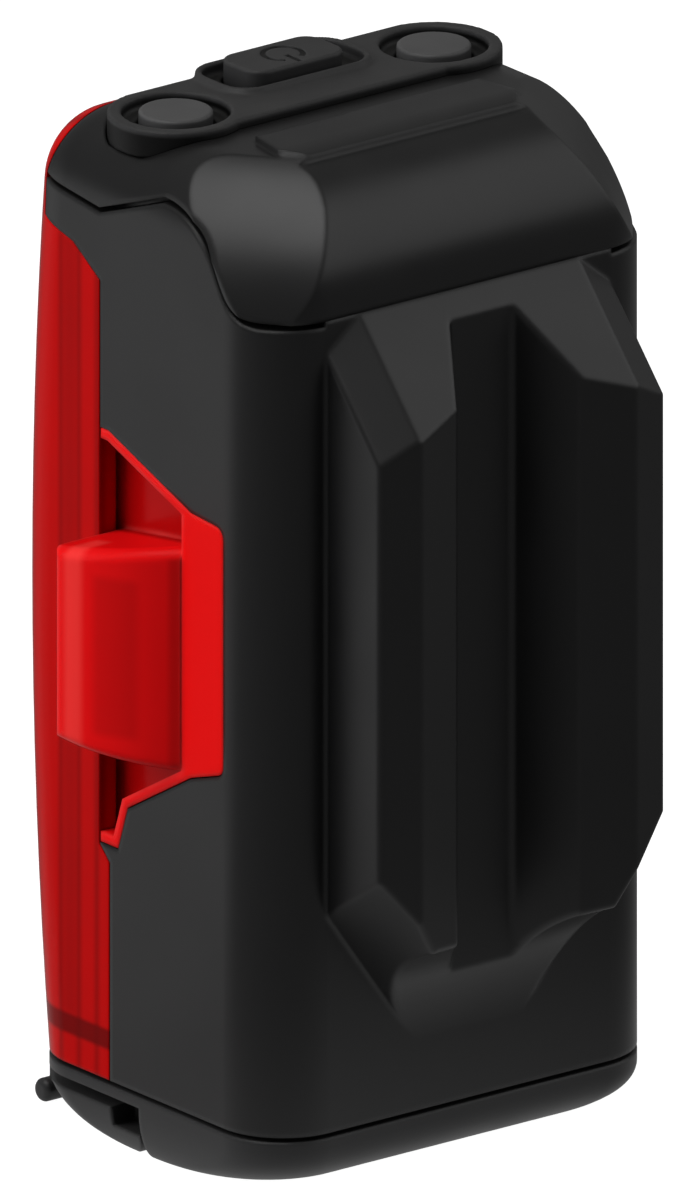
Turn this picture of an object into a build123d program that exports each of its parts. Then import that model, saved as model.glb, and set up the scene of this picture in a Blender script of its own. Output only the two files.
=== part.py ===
from build123d import *
from math import cos, radians, sin, sqrt
import os

# A bicycle rear light. A black moulded case carries a red wrap-round lens in front, two red side
# lenses that stand out like ears, a soft keypad on top, a strap boss on the back and a hinged
# charging port cover below. X is the width, Y runs from the lens to the boss and Z is up.
# Lengths are millimetres. Depths run forward from the flat back, heights up from the base seam.

# Driving sizes of the case
case_width = 38.0
case_depth = 30.7
lens_bow = 2.1
case_height = 75.2
base_height = 5.5
wall = 1.6
side_radius = 5.6
shoulder_radius = 9.0
brow_radius = 6.2

# Clearances shared by the pieces
seam_gap = 0.45
fit_gap = 0.1
seat_gap = 0.05
running_gap = 0.06
overrun = 1.0

# Corner pads, bevelled faces across the two upper rear corners
pad_turn = 52.0
pad_top_setback = 11.4
pad_top_rise = 0.2
pad_middle_setback = 5.3
pad_middle_drop = 5.0
pad_low_setback = 2.2
pad_low_drop = 11.8

# Parting lines between the cap, the lens and the housing
cap_back_height = 64.85
cap_corner_depth = 2.4
cap_rise_depth = 7.4
cap_rise_height = 69.2
cap_crest_depth = 13.6
cap_crest_height = 72.1
cap_dip_depth = 20.9
cap_dip_height = 69.4
cap_front_depth = 28.1
cap_front_height = 70.2
cap_brow_depth = 26.0
cap_thickness = 2.8
skirt_drop = 2.5
lens_low_depth = 19.7
lens_low_height = 17.4
lens_side_depth = 20.9
lens_arch_height = 63.6
lens_arch_depth = 24.2
lens_arch_top = 65.8
lens_gap = 0.12

# Side window and side lens
window_rear_depth = 5.7
window_rear_low = 28.1
window_rear_high = 47.8
window_bend_depth = 9.7
window_bend_low = 26.8
window_bend_high = 48.1
window_front_depth = 19.8
window_front_high = 51.9
window_step_depth = 17.4
window_step_low = 22.3
window_heel_depth = 18.6
window_heel_low = 18.7
window_corner_radius = 1.0
side_lens_flush = 0.05
side_lens_rim = 0.8
recess_depth = 2.2
recess_floor = 1.0
recess_lap = 2.0
recess_rear_depth = 10.9
ear_middle = 35.8
ear_root_height = 18.1
ear_tip_height = 15.2
ear_reach = 4.85
ear_length = 9.6
ear_knee_length = 6.0
ear_knee_reach = 3.0
ear_front_gap = 0.3
ear_edge_radius = 0.9
ear_wall = 1.2

# Strap boss on the back
boss_height = 7.45
boss_low = 5.8
boss_floor_rise = 1.5
boss_floor_half = 2.95
boss_mouth_rise = 6.2
boss_mouth_half = 5.9
boss_ridge_half = 10.25
boss_outer_rise = 6.55
boss_outer_half = 13.65
boss_root = 0.8
boss_ramp_drop = 8.3
boss_sweep_radius = 9.8
boss_facet_half = 10.45
boss_facet_share = 0.82
boss_foot_half = 5.4
boss_foot_share = 1.4
boss_foot_rise = 4.5
boss_edge_radius = 0.45
core_inner_half = 7.6
core_outer_half = 12.0
core_rise = 4.6
core_low = 23.0
core_high = 50.0

# Base cap, port cover and its hinge
base_rise = 4.2
base_rear_run = 9.2
base_front_run = 4.6
base_side_run = 1.9
base_low_radius = 10.5
base_ring_shares = (0, 0.3, 0.6, 0.8, 0.92, 0.97)
base_seam_gap = 0.4
seal_setback = 0.5
spigot_height = 2.2
spigot_thickness = 1.2
base_plate_depth = 1.25
slot_height = 0.9
hinge_depth = 18.2
hinge_drop = 3.6
cover_notch_half = 16.5
cover_notch_depth = 19.6
barrel_radius = 0.85
barrel_gap = 0.2
pin_radius = 0.4
pin_half = 14.5
lug_half = 6.0
nub_radius = 0.92
nub_reach = 1.45
nub_half = 16.6
plug_width = 12.0
plug_rear_depth = 20.6
plug_length = 6.0
plug_rise = 0.6
plug_gap = 0.35
plug_radius = 1.2
cover_opening = 95.0

# Keypad, keys and their travel
keypad_rise = 0.75
keypad_seat_depth = 1.6
key_spread = 12.35
key_row_depth = 20.05
lobe_radius = 5.2
bar_rear_depth = 15.4
bar_front_depth = 25.2
key_radius = 2.83
key_rise = 0.05
key_gap = 0.15
key_flange = 0.6
key_flange_thickness = 0.8
key_travel = 0.5
key_edge_radius = 0.25
moat_radius = 4.15
moat_depth = 1.0
power_width = 9.0
power_length = 5.0
power_depth = 22.75
power_rise = 1.15
power_radius = 1.5
power_moat = 0.6
power_moat_side = 1.9
power_rim = 0.55
power_rim_rise = 0.45
symbol_radius = 1.75
symbol_line = 0.45
symbol_cut = 0.15
symbol_gap = 60.0
nameplate_half = 11.8
nameplate_slant = 1.1
nameplate_rear_depth = 6.8
nameplate_front_depth = 12.4
nameplate_rise = 0.45
nameplate_root = 2.0

# Battery and its tray
tray_low = 11.0
tray_wall = 0.8
cell_width = 24.8
cell_thickness = 8.0
cell_height = 43.0
cell_radius = 1.6
tray_side_depth = 9.0
foam_inset = 3.0
tab_width = 3.0
tab_thickness = 0.3
tab_spread = 4.5

# Boards, lamps and optics
board_thickness = 1.0
board_low = 6.0
board_high = 60.4
board_half = 17.1
board_waist_half = 14.6
board_waist_low = 16.6
board_waist_high = 53.6
board_spacing = 5.4
lamp_board_setback = 2.9
post_radius = 1.7
post_spread = 15.3
post_low = 9.4
post_high = 57.2
screw_shank = 0.6
screw_head = 1.1
screw_head_height = 0.8
screw_bite = 6.0
spacer_radius = 1.35
lamp_size = 3.0
lamp_height = 1.1
lamp_rows = 5
lamp_spread = 6.9
lamp_pitch = 10.4
reflector_half = 14.1
reflector_low = 7.2
reflector_high = 60.8
reflector_setback = 4.7
reflector_cup_width = 12.8
reflector_cup_height = 9.6
diffuser_thickness = 0.8
side_board_thickness = 0.8
side_board_length = 7.4
side_board_setback = 1.5
side_board_half_height = 6.6
side_lamp_pitch = 6.6
chip_height = 1.2
charge_board_height = 3.3
charge_board_half = 12.0
charge_board_rear = 14.6
charge_board_front = 27.0
pillar_spread = 9.0
pillar_depth = 17.0
pillar_radius = 1.4
stake_radius = 0.6
stake_rise = 0.5
socket_width = 9.0
socket_thickness = 3.3
socket_height = 6.2
socket_shell = 0.3
socket_tongue_width = 6.6
socket_tongue = 0.7
socket_radius = 1.5
key_board_thickness = 0.8
key_board_half = 15.4
key_board_rear = 14.6
key_board_front = 25.4
switch_size = 3.2
switch_height = 1.4
switch_cap_radius = 0.9
switch_cap_height = 0.35
key_post_spread = 7.1
key_post_depth = 16.4
key_post_radius = 1.2
key_screw_shank = 0.5
key_screw_bite = 2.0

# Base screws
base_screw_spread = 13.6
base_screw_depth = 9.6
base_post_radius = 2.0
base_post_top = 7.4
base_screw_shank = 0.8
base_screw_head = 1.55
base_screw_head_height = 1.1
base_screw_length = 10.2
base_screw_sink = 0.5

# Places worked out from the driving sizes
half_width = case_width / 2
full_depth = case_depth + lens_bow + boss_height
back_y = full_depth / 2 - boss_height
seam_z = base_height
case_middle = case_height / 2
switch_top = case_height - cap_thickness - seat_gap - key_flange_thickness - key_travel - seat_gap
key_board_top = switch_top - switch_height
plate_low = -base_plate_depth - slot_height
plug_front_depth = plug_rear_depth + plug_length
ear_front_depth = lens_side_depth - ear_front_gap
ear_rear_depth = ear_front_depth - ear_length
ear_knee_depth = ear_front_depth - ear_knee_length
lamp_board_depth = lens_side_depth - lamp_board_setback
main_board_depth = lamp_board_depth - board_spacing
reflector_front_depth = case_depth - reflector_setback
side_board_front = lens_side_depth - side_board_setback
side_board_rear = side_board_front - side_board_length
tray_height = cell_height + 2 * (tray_wall + fit_gap)


def side_point(depth, height):
    """A point of a side view drawing, from its depth and height."""
    return (back_y - depth, seam_z + height)


def side_plane(x=0.0):
    """The upright plane of a side view, with Y across and Z up."""
    return Plane(origin=(x, 0, 0), x_dir=(0, 1, 0), z_dir=(1, 0, 0))


def plan_point(x, depth):
    """A point of a plan drawing, from its width and depth."""
    return (x, back_y - depth)


def at_height(height):
    """The level plane at a height above the base seam."""
    return Plane(origin=(0, 0, seam_z + height))


def side_face(points):
    """A closed side view face through corner points given as depth and height."""
    return make_face(Polyline(*[side_point(*p) for p in points], close=True))


def side_bar(face, x_low, x_high):
    """A side view face made solid from one width to another."""
    return extrude(side_plane(x_low) * face, x_high - x_low)


def block(x_low, x_high, rear, front, low, high):
    """A box between two widths, two depths and two heights."""
    size = Box(x_high - x_low, front - rear, high - low)
    return Pos((x_low + x_high) / 2, back_y - (rear + front) / 2, seam_z + (low + high) / 2) * size


def upright(radius, x, depth, low, high):
    """An upright round bar."""
    rod = Cylinder(radius, high - low)
    return Pos(x, back_y - depth, seam_z + (low + high) / 2) * rod


def level_rod(radius, x, height, rear, front):
    """A round bar that runs from the back towards the lens."""
    rod = Rot(X=90) * Cylinder(radius, front - rear)
    return Pos(x, back_y - (rear + front) / 2, seam_z + height) * rod


def cross_rod(radius, depth, height, x_low, x_high):
    """A round bar that runs across the width."""
    rod = Rot(Y=90) * Cylinder(radius, x_high - x_low)
    return Pos((x_low + x_high) / 2, back_y - depth, seam_z + height) * rod


def rounded_plan(width, rear, front, radius):
    """A rounded rectangle in plan between two depths."""
    return Pos(*plan_point(0, (rear + front) / 2)) * RectangleRounded(width, front - rear, radius)


def raised(plan, low, high):
    """A plan face made solid between two heights."""
    return extrude(at_height(low) * plan, high - low)


def mirrored(shape):
    """The same shape on the other side of the middle plane."""
    return mirror(shape, about=Plane.YZ)


def both_sides(shape):
    """A shape together with its mirror twin."""
    return shape + mirrored(shape)


def together(pieces):
    """Several like pieces as one shape."""
    return Part() + list(pieces)


def nearest(items, point):
    """The item whose place is nearest to a point."""
    return min(items, key=lambda item: (item.center() - Vector(*point)).length)


def case_form(inset, padded=False):
    """The whole case as one solid, drawn in by an inset on every side but the bottom."""
    top = case_height - inset
    front = case_depth - inset
    back_line = Polyline(side_point(front, 0), side_point(inset, 0), side_point(inset, top),
                         side_point(front, top))
    bow = ThreePointArc(side_point(front, top), side_point(front + lens_bow, top / 2),
                        side_point(front, 0))
    face = make_face(back_line + bow)
    face = fillet(nearest(face.vertices(), side_point(inset, top)), shoulder_radius - inset)
    face = fillet(nearest(face.vertices(), side_point(front, top)), brow_radius - inset)
    form = side_bar(face, -half_width + inset, half_width - inset)
    ends = [e for e in form.edges() if abs(abs(e.center().X) - half_width + inset) < fit_gap]
    ends = [e for e in ends if e.center().Z > seam_z + overrun]
    form = fillet(ends, side_radius - inset)
    return form - both_sides(pad_cutter(inset)) if padded else form


def pad_cutter(inset):
    """What the corner pad takes off the upper rear corner on the right hand side."""
    outward = (sin(radians(pad_turn)), cos(radians(pad_turn)), 0)
    along = (outward[1], -outward[0], 0)
    corner = Plane(origin=(half_width, back_y, seam_z), x_dir=outward, z_dir=along)
    start = (-pad_top_setback - inset, case_height + pad_top_rise)
    middle = (-pad_middle_setback - inset, case_height - pad_middle_drop)
    end = (-pad_low_setback - inset, case_height - pad_low_drop)
    over = pad_top_setback
    curve = ThreePointArc(start, middle, end)
    rest = Polyline(end, (over, end[1]), (over, start[1] + over), (start[0], start[1] + over), start)
    return extrude(corner * make_face(curve + rest), case_width, both=True)


def cap_region(drop):
    """Everything above the parting line of the top cap, moved down by a drop."""
    rise = Spline(side_point(cap_corner_depth, cap_back_height),
                  side_point(cap_rise_depth, cap_rise_height),
                  side_point(cap_crest_depth, cap_crest_height), tangents=[(-1, 0), (-1, 0)])
    over = case_height + overrun
    rest = Polyline(side_point(cap_crest_depth, cap_crest_height),
                    side_point(cap_dip_depth, cap_dip_height),
                    side_point(cap_front_depth, cap_front_height),
                    side_point(case_depth, cap_front_height),
                    side_point(case_depth, over + drop), side_point(-overrun, over + drop),
                    side_point(-overrun, cap_back_height),
                    side_point(cap_corner_depth, cap_back_height))
    region = side_bar(make_face(rise + rest), -case_width, case_width)
    return Pos(0, 0, -drop) * region


def lens_region(back):
    """Everything in front of the parting line of the front lens, moved back by a distance."""
    front = case_depth + lens_bow + overrun
    high = case_height + overrun
    points = [(lens_low_depth, -overrun), (lens_low_depth, lens_low_height),
              (lens_side_depth, lens_low_height + lens_side_depth - lens_low_depth),
              (lens_side_depth, lens_arch_height), (lens_arch_depth, lens_arch_top),
              (cap_front_depth, lens_arch_top + overrun), (cap_front_depth, cap_front_height),
              (cap_brow_depth, high), (front, high), (front, -overrun)]
    return Pos(0, back, 0) * side_bar(side_face(points), -case_width, case_width)


def window_face(inset):
    """The outline of the side window, left open towards the lens, drawn in by an inset."""
    front = case_depth
    points = [(window_rear_depth, window_rear_low), (window_rear_depth, window_rear_high),
              (window_bend_depth, window_bend_high), (window_front_depth, window_front_high),
              (front, window_front_high), (front, window_heel_low),
              (window_heel_depth, window_heel_low), (window_step_depth, window_step_low),
              (window_bend_depth, window_bend_low)]
    face = side_face(points)
    for high in (window_rear_low, window_rear_high):
        face = fillet(nearest(face.vertices(), side_point(window_rear_depth, high)),
                      window_corner_radius)
    return offset(face, -inset, kind=Kind.INTERSECTION) if inset else face


def strap_boss():
    """The two rails on the back with the strap channel between them."""
    half = [(boss_floor_half, boss_floor_rise), (boss_mouth_half, boss_mouth_rise),
            (boss_ridge_half, boss_height), (boss_outer_half, boss_outer_rise),
            (boss_outer_half, -boss_root)]
    outline = half + [(-x, rise) for x, rise in reversed(half)]
    plan = make_face(Polyline(*[plan_point(x, -rise) for x, rise in outline], close=True))
    rails = raised(plan, boss_low, cap_back_height)
    reach = boss_height + fit_gap
    lean = reach / boss_height
    sweep_rise = (boss_sweep_radius ** 2 - (boss_sweep_radius - reach) ** 2) ** 0.5
    half_way = boss_sweep_radius * (1 - cos(radians(45)))
    half_rise = boss_sweep_radius * sin(radians(45))
    sweep = ThreePointArc(side_point(0, boss_low), side_point(-half_way, boss_low + half_rise),
                          side_point(-reach, boss_low + sweep_rise))
    ramp_end = cap_back_height - boss_ramp_drop * lean
    rest = Polyline(side_point(-reach, boss_low + sweep_rise), side_point(-reach, ramp_end),
                    side_point(0, cap_back_height), side_point(boss_root, cap_back_height),
                    side_point(boss_root, boss_low), side_point(0, boss_low))
    rails = rails & side_bar(make_face(sweep + rest), -half_width, half_width)
    rails = rails - both_sides(upper_facet()) - both_sides(lower_facet())
    return fillet([e for e in rails.edges() if e.center().Y > back_y + boss_edge_radius],
                  boss_edge_radius)


def slanted_cut(points, lean):
    """A cutter whose front view outline at the back plane leans as it leaves the back."""
    back = Plane(origin=(0, back_y, seam_z), x_dir=(1, 0, 0), z_dir=(0, -1, 0))
    face = back * make_face(Polyline(*points, close=True))
    way = Vector(0, boss_height, lean)
    return extrude(face, 2 * way.length, dir=way.normalized())


def upper_facet():
    """The bevel at the upper outer corner of a rail."""
    far = half_width
    fall = (far - boss_facet_half) * boss_facet_share
    points = [(boss_facet_half, cap_back_height), (far, cap_back_height - fall),
              (far, cap_back_height + overrun), (boss_facet_half, cap_back_height + overrun)]
    return slanted_cut(points, -boss_ramp_drop)


def lower_facet():
    """The bevel at the lower outer corner of a rail."""
    far = half_width
    rise = (far - boss_foot_half) * boss_foot_share
    points = [(boss_foot_half, boss_low), (far, boss_low + rise), (far, boss_low - case_middle),
              (boss_foot_half, boss_low - case_middle)]
    return slanted_cut(points, boss_foot_rise * boss_height / boss_outer_rise)


def post_places():
    """Width and height of the four board posts."""
    return [(x, high) for x in (-post_spread, post_spread) for high in (post_low, post_high)]


def rear_housing(outer, inner):
    """The black shell with its strap boss, window openings and screw posts."""
    shell = outer - cap_region(seam_gap) - lens_region(lens_gap) - inner + strap_boss()
    shell = shell - both_sides(block(core_inner_half, core_outer_half, -core_rise, wall + overrun,
                                     core_low, core_high))
    opening = side_bar(window_face(0), half_width - 2 * wall, half_width + overrun)
    shell = shell - both_sides(opening)
    for x, high in post_places():
        post = level_rod(post_radius, x, high, wall - fit_gap, main_board_depth)
        bite = level_rod(screw_shank + running_gap, x, high,
                         main_board_depth - screw_bite, main_board_depth)
        shell = shell + post - bite
    return shell + both_sides(base_post()) - both_sides(base_pilot())


def base_post():
    """The post behind the right hand base screw, tied to the side wall."""
    low = spigot_height + fit_gap
    web = post_radius / 2
    post = upright(base_post_radius, base_screw_spread, base_screw_depth, low, base_post_top)
    return post + block(base_screw_spread, half_width - wall / 2, base_screw_depth - web,
                        base_screw_depth + web, low, base_post_top)


def base_pilot():
    """The thread hole of the right hand base screw."""
    return upright(base_screw_shank + running_gap, base_screw_spread, base_screw_depth,
                   0, base_post_top)


def keypad_plan(grow):
    """The outline of the keypad seen from above, grown by a margin."""
    lobe = Circle(lobe_radius + grow)
    lobes = [Pos(*plan_point(x, key_row_depth)) * lobe for x in (-key_spread, key_spread)]
    bar = Pos(*plan_point(0, (bar_rear_depth + bar_front_depth) / 2))
    bar = bar * Rectangle(2 * key_spread, bar_front_depth - bar_rear_depth + 2 * grow)
    return lobes[0] + lobes[1] + bar + power_plan(power_moat_side + power_rim + grow,
                                                  power_moat + power_rim + grow)


def power_plan(side, end):
    """The power key's outline, grown along the width and along the depth."""
    return Pos(*plan_point(0, power_depth)) * RectangleRounded(
        power_width + 2 * side, power_length + 2 * end, power_radius + min(side, end))


def nameplate_plan():
    """The outline of the bare raised plate behind the keypad."""
    rear = nameplate_half
    front = nameplate_half - nameplate_slant
    points = [(-rear, nameplate_rear_depth), (-front, nameplate_front_depth),
              (front, nameplate_front_depth), (rear, nameplate_rear_depth)]
    return make_face(Polyline(*[plan_point(*p) for p in points], close=True))


def top_cap():
    """The saddle shaped cap with its pads, keypad seat, key holes, skirt and screw posts."""
    outer = case_form(0, padded=True)
    core = case_form(cap_thickness, padded=True)
    skirt = case_form(wall + fit_gap, padded=True) & cap_region(skirt_drop)
    plate = case_form(-nameplate_rise) - both_sides(pad_cutter(0))
    plate = plate & raised(nameplate_plan(), case_height - nameplate_root, case_height + overrun)
    cap = (outer & cap_region(0)) + skirt + plate - lens_region(lens_gap) - core
    cap = cap - keypad_seat()
    deep = case_height - cap_thickness - overrun
    for x in (-key_spread, key_spread):
        cap = cap - upright(key_radius + key_gap, x, key_row_depth, deep, case_height)
    cap = cap - raised(power_plan(key_gap, key_gap), deep, case_height)
    for room in key_rooms():
        cap = cap - room
    for x in (-key_post_spread, key_post_spread):
        post = upright(key_post_radius, x, key_post_depth, key_board_top,
                       case_height - cap_thickness + fit_gap)
        pilot = upright(key_screw_shank + running_gap, x, key_post_depth, key_board_top,
                        key_board_top + key_screw_bite)
        cap = cap + post - pilot
    return cap


def keypad_seat():
    """The shallow seat that the keypad lies in."""
    low = case_height - keypad_seat_depth
    return raised(keypad_plan(fit_gap), low, case_height + overrun)


def keypad():
    """The soft keypad, set into the cap, with a moat round each key."""
    low = case_height - keypad_seat_depth + seat_gap
    top = case_height + keypad_rise
    pad = raised(keypad_plan(0), low, top)
    rim = power_plan(power_moat_side + power_rim, power_moat + power_rim)
    pad = pad + raised(rim, low, top + power_rim_rise)
    for x in (-key_spread, key_spread):
        pad = pad - upright(moat_radius, x, key_row_depth, top - moat_depth, top + overrun)
        pad = pad - upright(key_radius + key_gap, x, key_row_depth, low - overrun, top)
    moat = power_plan(power_moat_side, power_moat)
    pad = pad - raised(moat, top + power_rim_rise - moat_depth, top + overrun)
    return pad - raised(power_plan(key_gap, key_gap), low - overrun, top)


def key_levels():
    """The heights of a key's flange and of the cap's inner face above it."""
    high = case_height - cap_thickness - seat_gap
    return high - key_flange_thickness, high


def key_rooms():
    """The space under the cap in which the flanges of the keys move."""
    low, high = key_levels()
    low = low - key_travel - seat_gap
    grow = key_flange + fit_gap
    rooms = [upright(key_radius + grow, x, key_row_depth, low, high + seat_gap)
             for x in (-key_spread, key_spread)]
    return rooms + [raised(power_plan(grow, grow), low, high + seat_gap)]


def round_key(x):
    """A round key with the flange that holds it in under the cap."""
    low, high = key_levels()
    top = case_height + keypad_rise + key_rise
    stem = upright(key_radius, x, key_row_depth, high - fit_gap, top)
    stem = fillet(stem.edges().group_by(Axis.Z)[-1], key_edge_radius)
    return stem + upright(key_radius + key_flange, x, key_row_depth, low, high)


def power_symbol(low, high):
    """The usual broken ring and bar of a power switch."""
    outer = Circle(symbol_radius) - Circle(symbol_radius - symbol_line)
    half = radians(symbol_gap / 2)
    reach = 2 * symbol_radius
    gap = make_face(Polyline((0, 0), (-reach * sin(half), reach * cos(half)),
                             (reach * sin(half), reach * cos(half)), close=True))
    bar = Pos(0, symbol_radius / 2 + symbol_line) * Rectangle(symbol_line, symbol_radius)
    sign = Pos(*plan_point(0, power_depth)) * (outer - gap + bar)
    return raised(sign, low, high)


def power_key():
    """The rounded power key with its flange and its engraved sign."""
    low, high = key_levels()
    top = case_height + keypad_rise + power_rise
    stem = raised(power_plan(0, 0), high - fit_gap, top)
    stem = fillet(stem.edges().group_by(Axis.Z)[-1], key_edge_radius)
    flange = raised(power_plan(key_flange, key_flange), low, high)
    return stem + flange - power_symbol(top - symbol_cut, top + overrun)


def ear_form(inset, inner):
    """The outline solid of a side lens ear on the right, drawn in by an inset."""
    root = inner - half_width
    reach = ear_reach - inset
    rear = ear_rear_depth + inset
    front = ear_front_depth - inset
    knee = (ear_knee_depth + inset / 2, ear_knee_reach - inset)
    spine = ThreePointArc((half_width - inset, back_y - rear),
                          (half_width + knee[1], back_y - knee[0]),
                          (half_width + reach, back_y - front))
    rest = Polyline((half_width + reach, back_y - front), (half_width + root, back_y - front),
                    (half_width + root, back_y - rear), (half_width - inset, back_y - rear))
    high = ear_root_height / 2 - inset
    tip = ear_tip_height / 2 - inset
    ear = raised(make_face(spine + rest), ear_middle - high, ear_middle + high)
    taper = side_face([(rear, ear_middle - high), (front, ear_middle - tip),
                       (front, ear_middle + tip), (rear, ear_middle + high)])
    return ear & side_bar(taper, inner, half_width + ear_reach)


def side_lens():
    """The red side lens on the right: a plate in the window with a hollow ear."""
    floor = half_width - recess_depth
    inner = floor - recess_floor
    front = lens_side_depth - lens_gap
    reach = block(inner - overrun, half_width + overrun, 0, front, 0, case_height)
    plate = side_bar(window_face(fit_gap), inner, half_width - side_lens_flush) & reach
    lap = block(inner, floor, front - fit_gap, front + recess_lap, 0, case_height)
    plate = plate + (side_bar(window_face(fit_gap), inner, floor) & lap)
    pocket = side_bar(window_face(fit_gap + side_lens_rim), floor, half_width + overrun)
    pocket = pocket & block(0, case_width, recess_rear_depth, case_depth, 0, case_height)
    ear = ear_form(0, inner)
    edges = [e for e in ear.edges() if e.center().X > half_width + ear_edge_radius]
    ear = fillet(edges, ear_edge_radius)
    return plate - pocket + ear - ear_form(ear_wall, inner - overrun)


def front_lens(outer, inner):
    """The red front lens, bowed in front and wrapped onto both sides, clear of the keypad."""
    keep = lens_region(0) & outer
    return keep - inner - keypad_seat()


def base_form(high):
    """The outer solid of the base up to a height, drawn in all round towards its underside."""
    rings = []
    for share in base_ring_shares:
        drawn = 1 - sqrt(1 - share ** 2)
        fallen = share / base_ring_shares[-1]
        radius = side_radius + (base_low_radius - side_radius) * drawn
        ring = rounded_plan(case_width - 2 * base_side_run * drawn, base_rear_run * drawn,
                            case_depth - base_front_run * drawn, radius)
        rings.append(at_height(base_rise * (1 - fallen) - base_height) * ring)
    plan = rounded_plan(case_width, 0, case_depth, side_radius)
    return raised(plan, base_rise - base_height, high) + loft(rings)


def base_cap():
    """The base with its spigot, port recess, hinge lug and screw holes."""
    clear = cover_tail() + barrel_gap
    rear = hinge_depth - clear
    front_room = block(-case_width, case_width, rear, case_depth + overrun,
                       -base_height - overrun, -base_plate_depth)
    base = base_form(-base_seam_gap) - front_room
    setback = wall + fit_gap
    spigot = rounded_plan(case_width - 2 * setback, setback, case_depth - setback,
                          side_radius - setback)
    inside = setback + spigot_thickness
    bore = rounded_plan(case_width - 2 * inside, inside, case_depth - inside,
                        side_radius - inside)
    base = base + raised(spigot, -base_seam_gap, spigot_height)
    base = base - raised(bore, 0, spigot_height + overrun)
    tie = block(-lug_half, lug_half, rear - overrun, hinge_depth, -hinge_drop, -base_plate_depth)
    lug = cross_rod(barrel_radius, hinge_depth, -hinge_drop, -lug_half, lug_half)
    base = base + lug + tie
    base = base - cross_rod(pin_radius + running_gap, hinge_depth, -hinge_drop,
                            -lug_half - overrun, lug_half + overrun)
    recess = rounded_plan(plug_width + 2 * plug_gap, plug_rear_depth - plug_gap,
                          plug_front_depth + plug_gap, plug_radius + plug_gap)
    base = base - raised(recess, -base_plate_depth - overrun, recess_height())
    base = base - raised(socket_plan(fit_gap), -base_plate_depth, overrun)
    for x in (-base_screw_spread, base_screw_spread):
        base = base - upright(base_screw_shank + fit_gap, x, base_screw_depth,
                              -base_height - overrun, spigot_height + overrun)
        base = base - upright(base_screw_head + fit_gap, x, base_screw_depth,
                              -base_height - overrun, screw_seat())
    for x in (-pillar_spread, pillar_spread):
        base = base + upright(pillar_radius, x, pillar_depth, -fit_gap, charge_board_height)
        base = base + upright(stake_radius, x, pillar_depth, charge_board_height - fit_gap,
                              charge_board_height + board_thickness + stake_rise)
    return base


def cover_tail():
    """The radius of the port cover's rounded rear edge about its hinge."""
    return base_height - hinge_drop


def recess_height():
    """The height of the port recess's ceiling."""
    return plate_low + plug_rise + slot_height + seat_gap


def screw_seat():
    """The height of the face that a base screw's head bears on."""
    return -base_height + base_screw_sink + base_screw_head_height


def base_seal():
    """The dark rubber ring in the seam between the base and the housing."""
    outer = rounded_plan(case_width - 2 * seal_setback, seal_setback, case_depth - seal_setback,
                         side_radius - seal_setback)
    inside = wall + fit_gap - seat_gap
    bore = rounded_plan(case_width - 2 * inside, inside, case_depth - inside,
                        side_radius - inside)
    return raised(outer - bore, -base_seam_gap, 0)


def port_cover():
    """The hinged cover under the charging socket, with rounded tail, plug and finger lip."""
    front = case_depth
    flap = block(-half_width, half_width, hinge_depth, front, -base_height, plate_low)
    tail = cross_rod(cover_tail(), hinge_depth, -hinge_drop, -half_width, half_width)
    flap = base_form(0) & (flap + tail)
    hole = lug_half + 2 * running_gap
    flap = flap - cross_rod(cover_tail() + barrel_gap, hinge_depth, -hinge_drop, -hole, hole)
    notch = block(cover_notch_half, half_width + overrun, 0, cover_notch_depth,
                  -hinge_drop, 0)
    flap = flap - both_sides(notch)
    middle = front + nub_reach - nub_radius
    level = nub_radius - base_height + running_gap
    nub = fillet(cross_rod(nub_radius, middle, level, -nub_half, nub_half).edges(), nub_radius / 2)
    nub = nub + block(-nub_half + nub_radius, nub_half - nub_radius, front - base_front_run / 2,
                      middle, level, plate_low)
    plug = rounded_plan(plug_width, plug_rear_depth, plug_front_depth, plug_radius)
    flap = flap + nub + raised(plug, plate_low - fit_gap, plate_low + slot_height + plug_rise)
    return flap - cross_rod(pin_radius + running_gap, hinge_depth, -hinge_drop,
                            -pin_half - fit_gap, pin_half + fit_gap)


def cover_pin():
    """The steel pin that the port cover turns on."""
    return cross_rod(pin_radius, hinge_depth, -hinge_drop, -pin_half, pin_half)


def base_screws():
    """The two screws that hold the base, each with a cross recess."""
    head_low = screw_seat() - base_screw_head_height
    head = upright(base_screw_head, base_screw_spread, base_screw_depth, head_low, screw_seat())
    shank = upright(base_screw_shank, base_screw_spread, base_screw_depth, screw_seat(),
                    screw_seat() + base_screw_length)
    arm = base_screw_head * 2 / 3
    slim = arm / 3
    cut = head_low + base_screw_head_height / 2
    for long, wide in ((arm, slim), (slim, arm)):
        head = head - block(base_screw_spread - long, base_screw_spread + long,
                            base_screw_depth - wide, base_screw_depth + wide, head_low, cut)
    return both_sides(head + shank)


def tray_depths():
    """The depths of the battery tray's floor and of the cell it holds."""
    floor = wall + seat_gap
    cell = floor + tray_wall + seat_gap
    return floor, cell


def battery_tray():
    """A shallow open tray on the back wall that holds the battery cell."""
    floor, cell = tray_depths()
    half = cell_width / 2 + fit_gap + tray_wall
    high = tray_low + tray_height
    tray = block(-half, half, floor, tray_side_depth, tray_low, high)
    return tray - block(-half + tray_wall, half - tray_wall, floor + tray_wall,
                        tray_side_depth + overrun, tray_low + tray_wall, high - tray_wall)


def battery_cell():
    """The flat rechargeable cell."""
    cell = tray_depths()[1]
    low = tray_low + tray_wall + seat_gap
    body = block(-cell_width / 2, cell_width / 2, cell, cell + cell_thickness,
                 low, low + cell_height)
    return fillet(body.edges().filter_by(Axis.Z), cell_radius)


def battery_pad():
    """The foam pad between the cell and the main board."""
    rear = tray_depths()[1] + cell_thickness + seat_gap
    half = cell_width / 2 - foam_inset
    low = tray_low + tray_wall + foam_inset
    return block(-half, half, rear, main_board_depth - seat_gap, low,
                 low + cell_height - 2 * foam_inset)


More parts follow.
